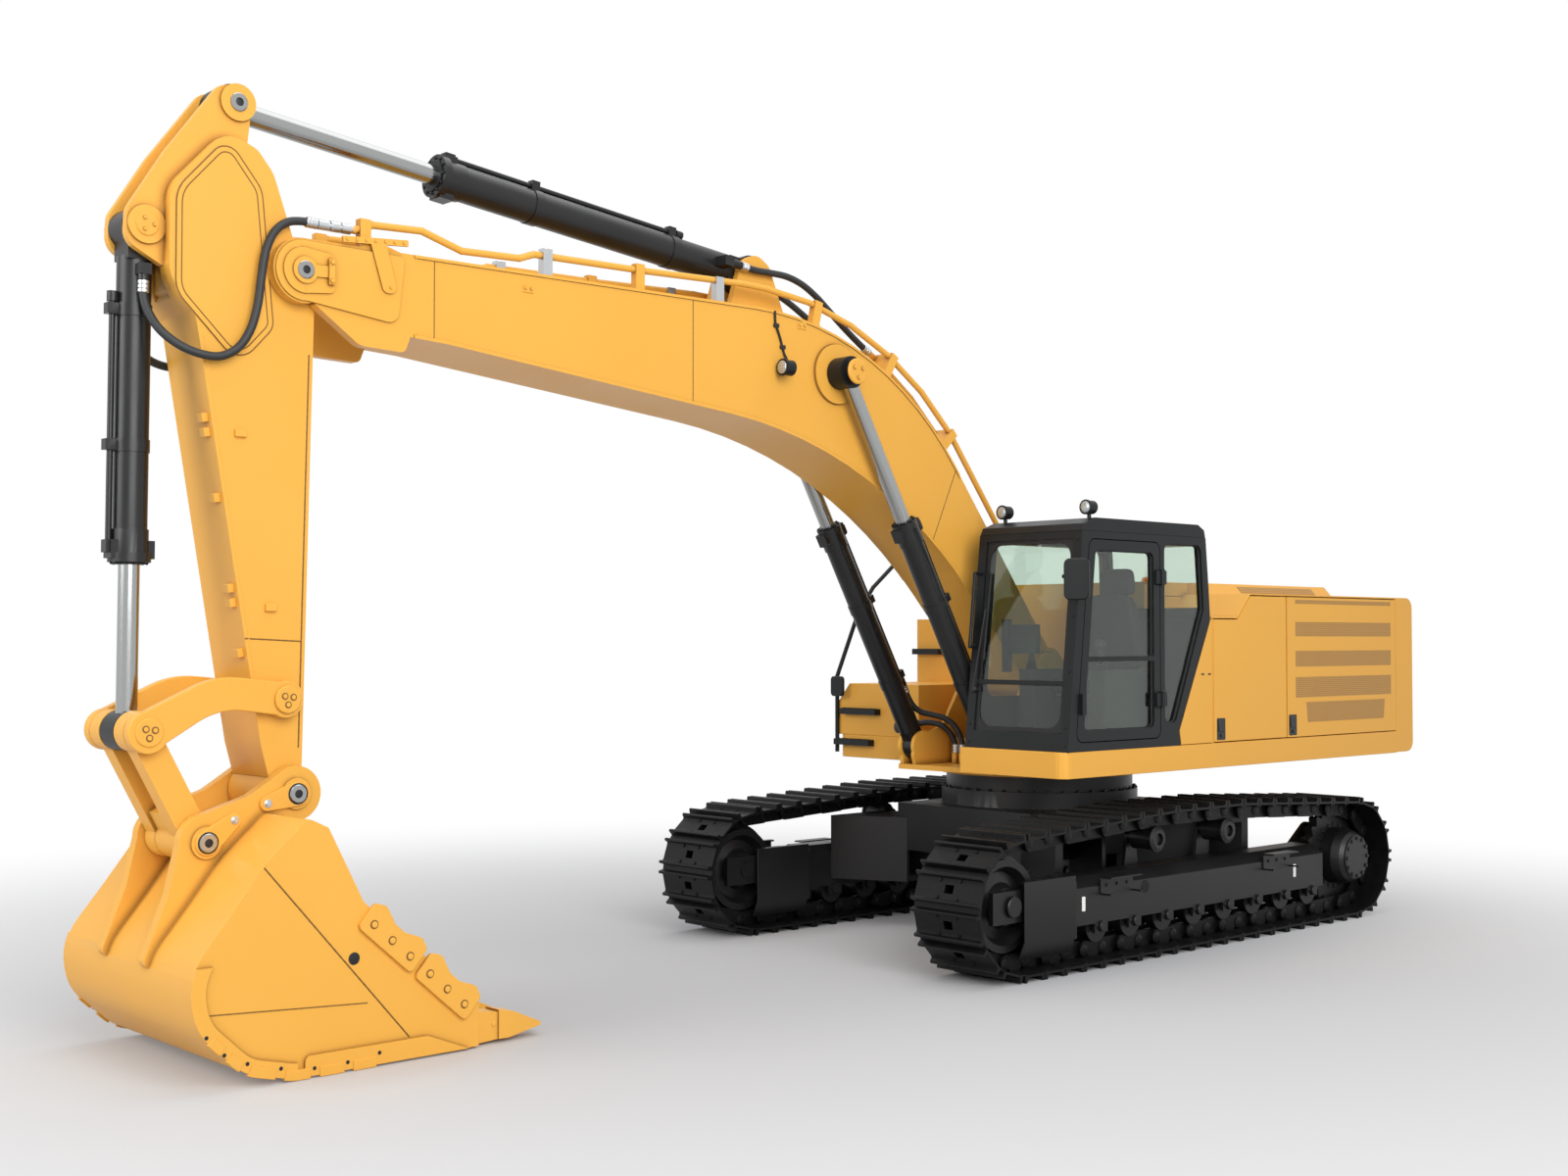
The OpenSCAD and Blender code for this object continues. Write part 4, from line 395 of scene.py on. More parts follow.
def softened(material, node, edge_mm, segments=2):
    """A copy of a node with its flat triangles joined and its sharp edges rounded by edge_mm."""
    source = nodes[node]
    mesh = source.data.copy()
    mesh.name = node + "_skin"
    work = bmesh.new()
    work.from_mesh(mesh)
    bmesh.ops.remove_doubles(work, verts=work.verts, dist=2e-6)
    bmesh.ops.dissolve_limit(work, angle_limit=math.radians(FLAT_DEG), verts=work.verts, edges=work.edges)
    work.to_mesh(mesh)
    work.free()
    mesh.materials.clear()
    mesh.materials.append(material)
    mesh.shade_smooth()
    mesh.set_sharp_from_angle(angle=math.radians(SMOOTH_DEG))
    skin = in_scene(node + "_skin", mesh)
    bevel = skin.modifiers.new("round_edges", "BEVEL")
    bevel.width = edge_mm * MM
    bevel.segments = segments
    bevel.limit_method = "ANGLE"
    bevel.angle_limit = math.radians(ROUND_DEG)
    bevel.harden_normals = True
    bevel.use_clamp_overlap = True
    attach(skin, source["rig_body"])
    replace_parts(skin, node)


def finish_nodes(names, material):
    """Gives CAD nodes whose shape is right their finish."""
    for name in names:
        slots = nodes[name].data.materials
        slots.clear()
        slots.append(material)


finish_nodes(["swing_bearing", "track_rollers", "idlers", "sprockets", "final_drives"], frame_paint)
softened(frame_paint, "track_frames", 9)
softened(frame_paint, "carbody", 12)


def circle_of(count, r, start=0.0):
    """Places at equal angles on a circle of radius r round z."""
    a = 2 * np.pi * np.arange(count) / count + start
    return np.stack([r * np.cos(a), r * np.sin(a), np.zeros(count)], 1)


def both_sides(shape):
    """A shape and its mirror image across the machine's middle plane."""
    return joined(shape, (shape[0] * [1, -1, 1], [face[::-1] for face in shape[1]]))


def bolted_cap(cap, head, places):
    """A cap with bolt heads of a radius and a height at places on its face."""
    return joined(cap, spread(bolt(*head), places, UP))


ROLLER_XS = range(-1600, 1601, 400)
side_bolts = [
    (bolted_cap(button(182, 174, -28, -6, 0, 48), (15, 13), circle_of(12, 158)),
     (-HALF_BASE, 1632, WHEEL_Z)),
    (spread(bolt(14, 14), circle_of(20, 262), UP), (-HALF_BASE, 1408, WHEEL_Z)),
    (bolted_cap(button(37, 32, -2, 8, 12, 24), (6, 7), circle_of(3, 20)),
     [(x, 1572, 275) for x in ROLLER_XS]),
    (bolted_cap(button(43, 38, -4, 4, 8, 24), (7, 7), circle_of(4, 26)),
     [(x, 1500, CARRIER_Z) for x in CARRIER_XS]),
    (bolted_cap(button(74, 66, -2, 8, 14, 32), (10, 10), circle_of(6, 50)), (HALF_BASE, 1575, WHEEL_Z)),
    (bolt(11, 10), [(x + d, 1572, 566) for x in (1030, -1060) for d in (-120, 0, 120)]),
    (bolt(10, 9), [(x + d, 1560, 284) for x in ROLLER_XS for d in (-56, 56)])]
side_bolts = joined(*[spread(shape, places, LEFT) for shape, places in side_bolts])
piece("undercarriage_bolts", both_sides(side_bolts), frame_paint, *on_frame)
piece("bearing_bolts", spread(bolt(13, 16), circle_of(40, 781) + [0, 0, 1130], UP), frame_paint, *on_frame)


def inset(outline, d):
    """A counterclockwise outline, each corner moved in along its bisector, so that each edge moves by d."""
    before, after = unit(outline - np.roll(outline, 1, 0)), unit(np.roll(outline, -1, 0) - outline)
    n0, n1 = before[:, ::-1] * [-1, 1], after[:, ::-1] * [-1, 1]
    return outline + d * (n0 + n1) / (1 + np.sum(n0 * n1, 1))[:, None]


def stacked(*rings, closed=False):
    """Shape of outlines of as many points, each at its height, with faces between neighbours."""
    points = np.vstack([np.column_stack([outline, np.full(len(outline), h)]) for outline, h in rings])
    return points, ring_faces(len(rings), len(rings[0][0]), closed)


def plate(outline, low, high, edge=2.0):
    """Plate of a counterclockwise outline: four rings from low to high, drawn in by edge at both faces."""
    outer = np.array(outline, float)
    inner = inset(outer, edge)
    return stacked((inner, low), (outer, low + edge), (outer, high - edge), (inner, high))


def upright(shape, side=1):
    """A shape drawn in x and z, with its thickness along y: to the left, or to the right for side -1."""
    return shape[0][:, [0, 2, 1]] * [1, side, 1], shape[1]


def along_x(shape):
    """A shape drawn in y and z, with its thickness along x."""
    return shape[0][:, [2, 0, 1]], shape[1]


def rounded_box(x0, x1, z0, z1, r, steps=5):
    """Rectangle with rounded corners, counterclockwise: four quarter circles round the inner corners."""
    a = np.linspace(0, np.pi / 2, steps)
    corners = [(x1 - r, z1 - r, 0), (x0 + r, z1 - r, 1), (x0 + r, z0 + r, 2), (x1 - r, z0 + r, 3)]
    return np.vstack([arc((x, z), r, a + k * np.pi / 2) for x, z, k in corners])


def tile(x, z, half_x, half_z, r, low, high, edge=2.0):
    """Plate of a rounded box round a centre."""
    return plate(rounded_box(x - half_x, x + half_x, z - half_z, z + half_z, r), low, high, edge)


def patterned(name, pattern, size_mm, shader, bump=None, gloss=None):
    """A finish with one pattern, which sets its height, by strength and depth in mm, or its roughness."""
    material, add, place = new_material(name)
    cells = add("Tex" + pattern, {"Vector": place, "Scale": 1 / (size_mm * MM)})
    level = cells.outputs["Distance" if pattern == "Voronoi" else "Fac"]
    if bump:
        shader["Normal"] = add("Bump", {"Height": level, "Strength": bump[0], "Distance": bump[1] * MM})
    if gloss:
        shader["Roughness"] = add("MapRange", {"Value": level, "To Min": gloss[0], "To Max": gloss[1]})
    add("OutputMaterial", {"Surface": add("BsdfPrincipled", shader)})
    return material


# Idler guards: bent plates of 14 mm steel, welded to both sides of each frame's front end and
# turned in above and below the idler.
guard_line = np.array([(1535, 135), (1549, 129), (1604, 258), (1604, 669), (1556, 669), (1556, 655),
                       (1590, 655), (1590, 262)])
inner_line = (guard_line * [-1, 1] + [2 * TRACK_Y, 0])[::-1]
guards = [along_x(plate(outline, 1540, 2100, 4)) for outline in (guard_line, inner_line)]
piece("idler_guards", both_sides(joined(*guards)), frame_paint, *on_frame)

# Reflectors: small moulded prisms of clear plastic over a white back, glued to the beams' sides.
# A flat steel rim stiffens the round hole in each beam.
BEAM_SIDE = 1559
# Moulded clear acrylic: glossy, with small facets that sparkle
reflector = patterned("moulded_clear_reflector", "Voronoi", 12,
                      {"Base Color": "#f2f2ee", "Roughness": 0.15, "Coat Weight": 0.5}, bump=(0.4, 2))
tags = [upright(tile(x, z, 18, 52, 6, BEAM_SIDE, BEAM_SIDE + 7), side)
        for x, z in ((1406, 452), (-1330, 458)) for side in (1, -1)]
piece("beam_reflectors", joined(*tags), reflector, *on_frame)
rim = plate(circle_of(28, 46)[:, :2] + [677, 511], BEAM_SIDE, BEAM_SIDE + 5)
piece("beam_hole_rims", joined(upright(rim), upright(rim, -1)), track_steel, *on_frame)

# House: sheet steel panels and doors, cast counterweight and welded frame under semi-gloss
# yellow enamel. The panels' edges are folded, and latches with black paddles hold the doors.
# Sprayed enamel: a warm, even yellow with a soft gloss and faint orange peel, and painted shade in its inner
# corners
yellow_enamel = sprayed_paint("semi_gloss_yellow_enamel_corner_shade", "#e2a643", "#e8ac4a", 0.4, 900, 10, 0.05, 0.28,
                              "#8a5c20")
yellow = (yellow_enamel, "machine_yellow")
for row in (("main_frame", 6), ("deck", 22, 3), ("counterweight", 30, 4), ("house_panels", 5),
            ("engine_hood", 22, 3), ("left_front_door", 5), ("left_rear_door", 4), ("right_rear_door", 4),
            ("fuel_tank", 16, 3), ("hydraulic_tank", 16, 3), ("tool_box", 16, 3)):
    softened(yellow_enamel, *row)
# Painted cast iron: matt grey with a coarse grain
engine_paint = sprayed_paint("grey_engine_casting", "#3a3d40", "#45484b", 0.6, 200, 6, 0.3)
finish_nodes(["engine_block"], engine_paint)


def perforated_sheet(name, sheet, hole, pitch_mm):
    """Punched sheet: in each square cell, a round hole where the distance to its centre is small, painted dark
    as the shade seen through it.
    """
    material, add, place = new_material(name)
    cell = add("VectorMath", {0: place, "Scale": 1 / (pitch_mm * MM)}, operation="SCALE")
    for operation, by in (("FRACTION", (0, 0, 0)), ("SUBTRACT", (0.5, 0.5, 0.5)), ("MULTIPLY", (1, 0, 1)),
                          ("LENGTH", (0, 0, 0))):
        cell = add("VectorMath", {0: cell, 1: by}, operation=operation)
    solid = add("MapRange", {"Value": cell, "From Min": 0.28, "From Max": 0.36})
    # Painted shade: the hole colour stands for the dark space seen through the holes
    tone = add("Mix", {"Factor": solid, "A": hole, "B": sheet}, data_type="RGBA")
    dent = add("Bump", {"Height": solid, "Strength": 0.5, "Distance": 4 * MM})
    steel = add("BsdfPrincipled", {"Base Color": tone, "Roughness": 0.5, "Normal": dent})
    add("OutputMaterial", {"Surface": steel})
    return material


# The real holes are about 5 mm apart; they are drawn 16 mm apart so that they show
grille_sheet = perforated_sheet("punched_yellow_grille_sheet", "#b98a42", "#966a2e", 16)
HOUSE_SIDE = 1494
GRILLE_X = (-3012, -1478)
inserts = [plate(rounded_box(*GRILLE_X, z0 - 2, z1 + 2, 8), HOUSE_SIDE - 6.5, HOUSE_SIDE + 0.2, 1)
           for z0, z1 in ((2626, 2660), (2358, 2476), (2107, 2237), (1853, 2022))]
inserts.append(plate([(-2880, 1648), (-1660, 1648), (-1640, 1814), (-2900, 1814)], HOUSE_SIDE - 2,
                     HOUSE_SIDE + 2, 1))
blank = plate(rounded_box(*GRILLE_X, 1642, 1820, 8), HOUSE_SIDE - 6.5, HOUSE_SIDE + 0.4, 1)
for side, door in ((1, "left_rear_door"), (-1, "right_rear_door")):
    piece(door + "_grilles", upright(joined(*inserts), side), grille_sheet, "machine_yellow", door)
    piece(door + "_blank", upright(blank, side), *yellow, door)
slope, slope_faces = plate(rounded_box(-2640, -1480, -36, 36, 8), -1, 2.5, 1)
lean = math.atan2(100, -90)
tilt = np.array([[1, 0, 0], [0, math.cos(lean), math.sin(lean)], [0, math.sin(lean), -math.cos(lean)]])
edge_grille = both_sides((slope @ tilt + [0, 955, 2750], slope_faces))
piece("hood_edge_grille", edge_grille, grille_sheet, "machine_yellow", "hood")

# Moulded nylon: near black and half matt, with a fine grain; it is also the painted shade in holes, recesses
# and the middles of pin ends
black_nylon_and_recess_shade = sprayed_paint("moulded_black_latch_and_recess_shade", "#141517", "#1e1f21", 0.4, 40, 3, 0.2)
black = (black_nylon_and_recess_shade, "trim_black")
# Zinc plating: pale metal whose spangle breaks up its shine
zinc = patterned("zinc_plated_steel", "Voronoi", 14, {"Base Color": "#c3c5c7", "Metallic": 1.0},
                 gloss=(0.25, 0.42))


def latch(x, z):
    """Door latch: a pan with a raised paddle and a round lock."""
    lock = button(15, 11, 0, 6, 8, 20)
    return joined(tile(x, z, 56, 85, 10, HOUSE_SIDE - 1, HOUSE_SIDE + 5),
                  tile(x, z + 26, 42, 46, 10, HOUSE_SIDE + 3, HOUSE_SIDE + 13, 4),
                  (lock[0] + [x, z - 52, HOUSE_SIDE + 4], lock[1]))


for door, x, side in (("left_front", -408, 1), ("left_rear", -1432, 1), ("right_rear", -1432, -1)):
    piece(door + "_latch", upright(latch(x, 1632), side), *black, door + "_door")
panel_clips = [tile(x, 2064, 16, 6, 4, HOUSE_SIDE, HOUSE_SIDE + 6, 1) for x in (-165, -255)]
piece("side_panel_clips", upright(joined(*panel_clips)), *black, "house")

# Side panel: a flat triangle of folded sheet steel under the yellow enamel. It fills the house's
# side from the front door to the cab.
side_line = [(-296, 1530), (114, 1530), (134, 1636), (-285, 2488), (-296, 2488)]
side_panel = plate(side_line, HOUSE_SIDE - 9, HOUSE_SIDE)
piece("house_side_panel", upright(side_panel), *yellow, "house")


# Closing sheets: flat sheet steel under the yellow enamel, welded in above the tanks and beside
# the cover, so that the engine bay is closed.
def closing_sheet(start, end, foot, low, high):
    """Flat sheet from start to end, and from its foot up to the hood's underside."""
    return plate([(start, foot), (end, foot), (end, 2684), (start, 2684)], low, high)


tank_side = upright(closing_sheet(-1318, -902, 2506, HOUSE_SIDE - 10, HOUSE_SIDE), -1)
cover_sides = [upright(closing_sheet(-902, -312, 2496, y, y + 9), side) for y, side in ((551, -1), (840, 1))]
tank_front = along_x(closing_sheet(-1493, -552, 2506, -911, -902))
piece("engine_bay_sheets", joined(tank_side, *cover_sides, tank_front), *yellow, "house")

# Amber warning lamp: a low, ribbed dome of moulded acrylic, screwed to the cover in front of
# the hood.
# Moulded acrylic: deep orange, with ribs that catch the light
amber = patterned("moulded_amber_acrylic", "Wave", 20, {"Base Color": "#e07a1c", "Roughness": 0.2},
                  bump=(0.2, 2))
dome = turned([(46, 0), (46, 12), (38, 14), (38, 34), (28, 46), (10, 52)], 28)
piece("warning_lamp", spread(dome, (-640, 620, 2799), UP), amber, "trim_black", "house")

# Handrails, steps and mirrors: bent steel tube and pressed treads with round studs under satin
# black paint. The mirrors are silvered glass in moulded housings, on arms from the rails.
# Sprayed satin black: a little lighter and smoother than the frames
cab_paint = sprayed_paint("satin_black_cab_paint", "#17191a", "#1f2122", 0.36, 400, 8, 0.08, 0.2)
finish_nodes(["handrails"], cab_paint)
tread_xy = [(850 + d, y) for d in (18, 36, 54) for y in range(-1395, -1005, 44)]
stud_places = [(x, y - shift, z) for shift, z in ((0, 1750), (76, 1490)) for x, y in tread_xy]
studs = spread(button(7, 4, 0, 3, 5, 10), stud_places, UP)
piece("tread_studs", studs, cab_paint, "trim_black", "house")
# Silvered glass: a clear mirror with a faint haze
mirror_glass = patterned("silvered_mirror_glass", "Noise", 60, {"Base Color": "#d9dee0", "Metallic": 1.0},
                         gloss=(0.02, 0.06))
swing = math.radians(20)
turn = np.array([[math.cos(swing), math.sin(swing), 0], [-math.sin(swing), math.cos(swing), 0], [0, 0, 1]])


def at_left_arm(outline, low, high, edge):
    """A plate across x, turned 20 degrees at the left mirror's arm."""
    points, faces = along_x(plate(outline, low, high, edge))
    return points @ turn + [1450, 1435, 2770], faces


def rod(p, q, r):
    """Straight round bar between two points, with chamfered ends."""
    length = math.dist(p, q)
    bar = turned([(0.8 * r, 0), (r, 0.2 * r), (r, length - 0.2 * r), (0.8 * r, length)], 16)
    return spread(bar, p, np.subtract(q, p))


housings = joined(at_left_arm(rounded_box(0, 190, -155, 145, 46, 7), -18, 18, 9),
                  along_x(plate(rounded_box(-1505, -1355, 1850, 2020, 32, 7), 910, 945, 9)),
                  rod((1348, 1435, 2785), (1462, 1435, 2785), 15),
                  rod((887, -1495, 1940), (916, -1495, 1940), 9))
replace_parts(piece("mirror_housings", housings, cab_paint, "trim_black", "house"), "mirrors")
glasses = joined(at_left_arm(rounded_box(14, 176, -139, 129, 34, 7), -20, -16, 1),
                 along_x(plate(rounded_box(-1492, -1368, 1864, 2006, 22, 7), 908, 912, 1)))
piece("mirror_glasses", glasses, mirror_glass, "trim_black", "house")
socket = joined(button(48, 40, 0, 8, 12, 32), button(14, 10, 0, 16, 19, 12))
piece("tool_box_socket", spread(socket, (849, -788, 1607), AHEAD), *black, "house")

# Cab: pressed steel pillars, roof and door under satin black paint, with tinted safety glass in
# rubber channels, a wiper, and round lamps on the roof.
for row in (("cab_shell", 14, 3), ("cab_roof", 34, 4), ("cab_door", 7)):
    softened(cab_paint, *row)
finish_nodes(["work_lamps", "boom_lamp"], cab_paint)
# Laminated glass: clear and a little green, with a faint wave in what it mirrors
safety_glass = patterned("green_tinted_safety_glass", "Noise", 400,
                         {"Base Color": "#e0ece3", "Roughness": 0.02, "IOR": 1.45, "Transmission Weight": 1.0},
                         bump=(0.02, 10))
finish_nodes(["cab_glass", "cab_door_glass"], safety_glass)
# Extruded rubber: dull black with a fine grain
rubber = sprayed_paint("extruded_black_rubber", "#121213", "#1b1b1c", 0.62, 50, 3, 0.4)


def swept(path, radius, sides=10, closed=False):
    """Tube: circles across a path, whose axes are square to the path and to the axis it runs along least."""
    path = np.array(path, float)
    run = np.roll(path, -1, 0) - np.roll(path, 1, 0) if closed else np.gradient(path, axis=0)
    t = unit(run)
    u = unit(np.cross(t, np.eye(3)[np.argmin(np.abs(t).max(0))]))
    v = np.cross(t, u)
    a = 2 * np.pi * np.arange(sides) / sides
    r = np.broadcast_to(radius, len(path))[:, None, None]
    points = path[:, None] + r * (np.cos(a)[None, :, None] * u[:, None] + np.sin(a)[None, :, None] * v[:, None])
    return points.reshape(-1, 3), ring_faces(len(path), sides, closed)


def fillet(corners, steps=6):
    """Outline of (x, z, radius) corners: at each, the arc of that radius that touches both edges."""
    c = np.array(corners, float)
    p = c[:, :2]
    u, v = unit(np.roll(p, 1, 0) - p), unit(np.roll(p, -1, 0) - p)
    half = np.arccos(np.clip(np.sum(u * v, 1), -1, 1)) / 2
    middle = p + unit(u + v) * (c[:, 2] / np.sin(half))[:, None]
    a = p + u * (c[:, 2] / np.tan(half))[:, None] - middle
    b = p + v * (c[:, 2] / np.tan(half))[:, None] - middle
    start = np.arctan2(a[:, 1], a[:, 0])
    sweep = np.arctan2(a[:, 0] * b[:, 1] - a[:, 1] * b[:, 0], np.sum(a * b, 1))
    turn = start[:, None] + sweep[:, None] * np.linspace(0, 1, steps + 1)[None]
    arcs = middle[:, None] + c[:, 2, None, None] * np.stack([np.cos(turn), np.sin(turn)], -1)
    return np.vstack([arcs[k] if c[k, 2] > 0 else p[k:k + 1] for k in range(len(c))])


def cab_front(z):
    """The leaning front face: x falls from 1490 at the deck to 1300 at the roof."""
    return 1490 - 190 * (z - 1525) / 1695


def at_y(path, y):
    """Points given in x and z, all at one y."""
    x, z = np.array(path).T
    return np.column_stack([x, np.full(len(x), y), z])


CAB_SIDE = 1467
door_glass_line = fillet([(460, 1670, 50), (cab_front(1670) - 165, 1670, 50), (cab_front(2985) - 165, 2985, 50),
                          (460, 2985, 50)])
piece("door_glass_seal", swept(at_y(door_glass_line, CAB_SIDE), 9, 8, True), rubber, "cab_black", "cab_door")
quarter_line = fillet([(190, 1700, 60), (325, 1700, 60), (325, 3060, 60), (-150, 3060, 60), (-185, 2560, 60)])
piece("quarter_glass_seal", swept(at_y(quarter_line, CAB_SIDE), 10, 8, True), rubber, "cab_black", "house")


outer, inner = rounded_box(592, 1418, 1657, 3068, 4, 8), rounded_box(622, 1388, 1690, 3036, 110, 8)
frit, frit_faces = stacked((outer, 0), (outer, 3), (inner, 3), (inner, 0), closed=True)
frit = np.stack([cab_front(frit[:, 1]) - 19 + frit[:, 2], frit[:, 0], frit[:, 1]], 1)
piece("windshield_band", (frit, frit_faces), rubber, "cab_black", "house")
wiper_z = np.linspace(1960, 2560, 12)
wiper_x = cab_front(wiper_z) + 26 - 8 * np.linspace(0, 1, 12)
wiper_arm = np.stack([wiper_x, np.linspace(575, 640, 12), wiper_z], 1)
blade_z = np.linspace(2180, 2830, 12)
wiper_blade = np.stack([cab_front(blade_z) - 8, np.linspace(632, 648, 12), blade_z], 1)
wiper_hub = spread(button(26, 18, -30, 14, 24, 20), (cab_front(1960) + 6, 575, 1960), AHEAD)
wiper = joined(swept(wiper_arm, 8), swept(wiper_blade, 9, 8), wiper_hub)
piece("windshield_wiper", wiper, rubber, "cab_black", "house")
pillar_bolts = [(cab_front(z) - 1, y, z) for z in (1570, 1700, 2100, 2500, 2900, 3060) for y in (552, 1458)]
piece("cab_front_bolts", spread(bolt(9, 8), pillar_bolts, (1, 0, 0.112)), cab_paint, "cab_black", "house")
# Moulded polycarbonate over a bright bowl: a pale gleam, broken up by flutes
lamp_lens = patterned("moulded_clear_lamp_lens", "Voronoi", 16,
                      {"Base Color": "#a9aeb1", "Roughness": 0.08, "Coat Weight": 1.0, "Metallic": 0.35},
                      bump=(0.5, 3))


def lamp_front(rim_name, lens_name, body, places, outer, inner, glass):
    """Lamp front: a turned rim, and a domed lens in its opening, both facing ahead."""
    rim = turned([(inner, -6), (outer, -4), (outer, 10), (inner, 12), (glass, 12)], 32)
    dome = turned([(glass, 4), (glass, 12), (glass - 8, 17), (16, 20)], 32)
    piece(rim_name, spread(rim, places, AHEAD), cab_paint, "trim_black", body)
    piece(lens_name, spread(dome, places, AHEAD), lamp_lens, "trim_black", body)


lamp_front("roof_lamp_rims", "roof_lamp_lenses", "house", [(1155, y, 3300) for y in (605, 1405)], 55, 50, 42)

# Seat: foam cushions under woven cloth on a plain steel base, with a headrest on two posts. It
# is seen through the glass, between consoles of moulded plastic whose levers have rubber boots.
# Woven cloth: dull and dark, with hardly any grain at this distance
seat_cloth = sprayed_paint("woven_seat_cloth", "#232528", "#2a2c2f", 0.85, 200, 3, 0.03)
# Moulded ABS: dark grey, with the fine grain of its mould
console_plastic = sprayed_paint("moulded_console_plastic", "#303235", "#3a3c3f", 0.55, 120, 3, 0.4)
softened(console_plastic, "cab_controls", 10, 3)


def cushion(name, place, half, lean=0.0, channels=3):
    """Padded form: a super-ellipsoid, |x|^p + |y|^p + |z|^p = 1 with p near 5, with grooves across its face."""
    a, b = np.meshgrid(np.linspace(-np.pi / 2, np.pi / 2, 33), np.linspace(-np.pi, np.pi, 64, endpoint=False),
                       indexing="ij")
    ca, sa, cb, sb = [np.sign(v) * np.abs(v) ** 0.42 for v in (np.cos(a), np.sin(a), np.cos(b), np.sin(b))]
    x, y, z = ca * cb, ca * sb, sa
    groove = 0.05 * np.exp(-(((y * channels) % 2 - 1) / 0.12) ** 2)
    local = np.stack([x * half[0], y * half[1], z * (1 - groove) * half[2]], -1)[1:-1].reshape(-1, 3)
    c, s = math.cos(lean), math.sin(lean)
    local = local @ np.array([[c, 0, -s], [0, 1, 0], [s, 0, c]])
    made = piece(name, (local + place, ring_faces(31, 64)), seat_cloth, "seat_fabric", "house", 60)


SEAT_Y = 1005
cushion("seat_cushion", (560, SEAT_Y, 1980), (262, 248, 66))
cushion("seat_back", (323, SEAT_Y, 2365), (318, 246, 62), math.radians(-79.0))
cushion("seat_headrest", (262, SEAT_Y, 2776), (104, 148, 46), math.radians(-83.0), 1)
headrest_posts = [swept([(270, SEAT_Y + d, 2640), (258, SEAT_Y + d, 2740)], 9) for d in (-60, 60)]
seat_base = joined(tile(525, SEAT_Y, 190, 168, 30, 1586, 1905, 8),
                   tile(555, SEAT_Y, 245, 200, 40, 1895, 1925, 6), *headrest_posts)
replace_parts(piece("seat_base", seat_base, console_plastic, "cab_trim", "house"), "operator_seat")
boot = turned([(44, 0), (46, 10), (38, 22), (40, 32), (31, 46), (32, 56), (24, 74)], 24)
boots = spread(boot, [(900, SEAT_Y + d, 2104) for d in (-330, 330)], UP)
piece("lever_boots", boots, rubber, "cab_trim", "house")

# Boom: two side plates welded between rolled top and bottom plates, with a cast nose and foot.
# The welds run inside the plates' edges, and cross seams join its three lengths.
softened(yellow_enamel, "boom", 5)
BOOM_SIDE = 300
BOOM_ROD_PIN = (2630, 4245)
boom_line = fillet([(467, 1943, 0), (2193, 3731, 3960), (5890, 4107, 0), (6145, 4121, 0), (6182, 4025, 40),
                    (6479, 4035, 120), (6766, 4240, 0), (6841, 4610, 0), (6129, 4615, 0), (2133, 4655, 2600),
                    (212, 2222, 0)], 12)


def stepped(path, step):
    """Points at equal steps of length along a path, by linear interpolation."""
    path = np.array(path, float)
    length = np.concatenate([[0], np.cumsum(np.linalg.norm(np.diff(path, axis=0), axis=1))])
    at = np.linspace(0, length[-1], max(2, int(length[-1] / step)))
    return np.stack([np.interp(at, length, path[:, k]) for k in range(path.shape[1])], 1)


def bead(path, y, r=5.5):
    """Weld bead: a tube along a path in x and z, half sunk in the face at y, with ripples along it."""
    line = stepped(path, 22)
    ripple = r * (1 + 0.07 * np.cos(np.arange(len(line)) * np.pi))
    return swept(at_y(line, y), ripple, 8)


def side_pieces(body, *rows):
    """Pieces of a name, a shape and a finish, each on both sides of a body."""
    for name, shape, finish in rows:
        piece(name, both_sides(shape), *finish, body)


def welded_run(line):
    """The part of a line between the boom's cast foot and its cast nose."""
    line = stepped(line, 30)
    return line[(line[:, 0] > 1320) & (line[:, 0] < 6100)]


boom_in = inset(boom_line, 18)
belly, back = welded_run(boom_in[:16]), welded_run(boom_in[-15:])


def cross_seam(x_low, x_high):
    """The line across the boom's side from a point of its belly to one of its back."""
    order = np.argsort(back[:, 0])
    return [(x_low, np.interp(x_low, belly[:, 0], belly[:, 1])),
            (x_high, np.interp(x_high, back[order, 0], back[order, 1]))]


# Painted shade: a thin, matt, brown line along seams and round raised parts, where their gaps and edges fall
# into shade
seam_shade_paint = sprayed_paint("brown_painted_seam_shade", "#6f4f22", "#7d5a29", 0.6, 60, 6, 0.1)
# Hard chrome on ground steel: a grey mirror with fine streaks
chrome = patterned("hard_chrome_plate", "Noise", 9, {"Base Color": "#a3a5a4", "Metallic": 1.0},
                   gloss=(0.12, 0.22))
brown, bright = (seam_shade_paint, "machine_yellow"), (chrome, "rod_chrome")
# The cross seams, the back seam and the ring round the rod pin are brown lines of painted shade
boom_seams = [bead(cross_seam(*ends), BOOM_SIDE, 3.5) for ends in ((5983, 5983), (3970, 3970), (1604, 1345))]
boom_seams += [bead(back, BOOM_SIDE, 3.5),
               swept(at_y(circle_of(72, 216)[:, :2] + BOOM_ROD_PIN, BOOM_SIDE), 4, 8, True)]
nose_bolts = spread(bolt(14, 13), [(6681, 340, 4380), (6681, 340, 4487)], LEFT)
bracket_row = [(x, 320, 4673 - (x - 6175) * 0.082) for x in range(6205, 6600, 62)]
bracket_bolts = spread(bolt(9, 8), bracket_row + [(6290, 320, 4395)], LEFT)
small_xz = ((2968, 4560), (5310, 4520))
small_brackets = upright(joined(*[tile(x, z, 42, 26, 8, BOOM_SIDE - 1, BOOM_SIDE + 7) for x, z in small_xz]))
small_bolts = spread(bolt(9, 8), [(x + d, BOOM_SIDE + 7, z) for x, z in small_xz for d in (-22, 22)], LEFT)
pin_end = turned([(52, -4), (52, 5), (47, 9), (24, 9), (22, 3)], 32)
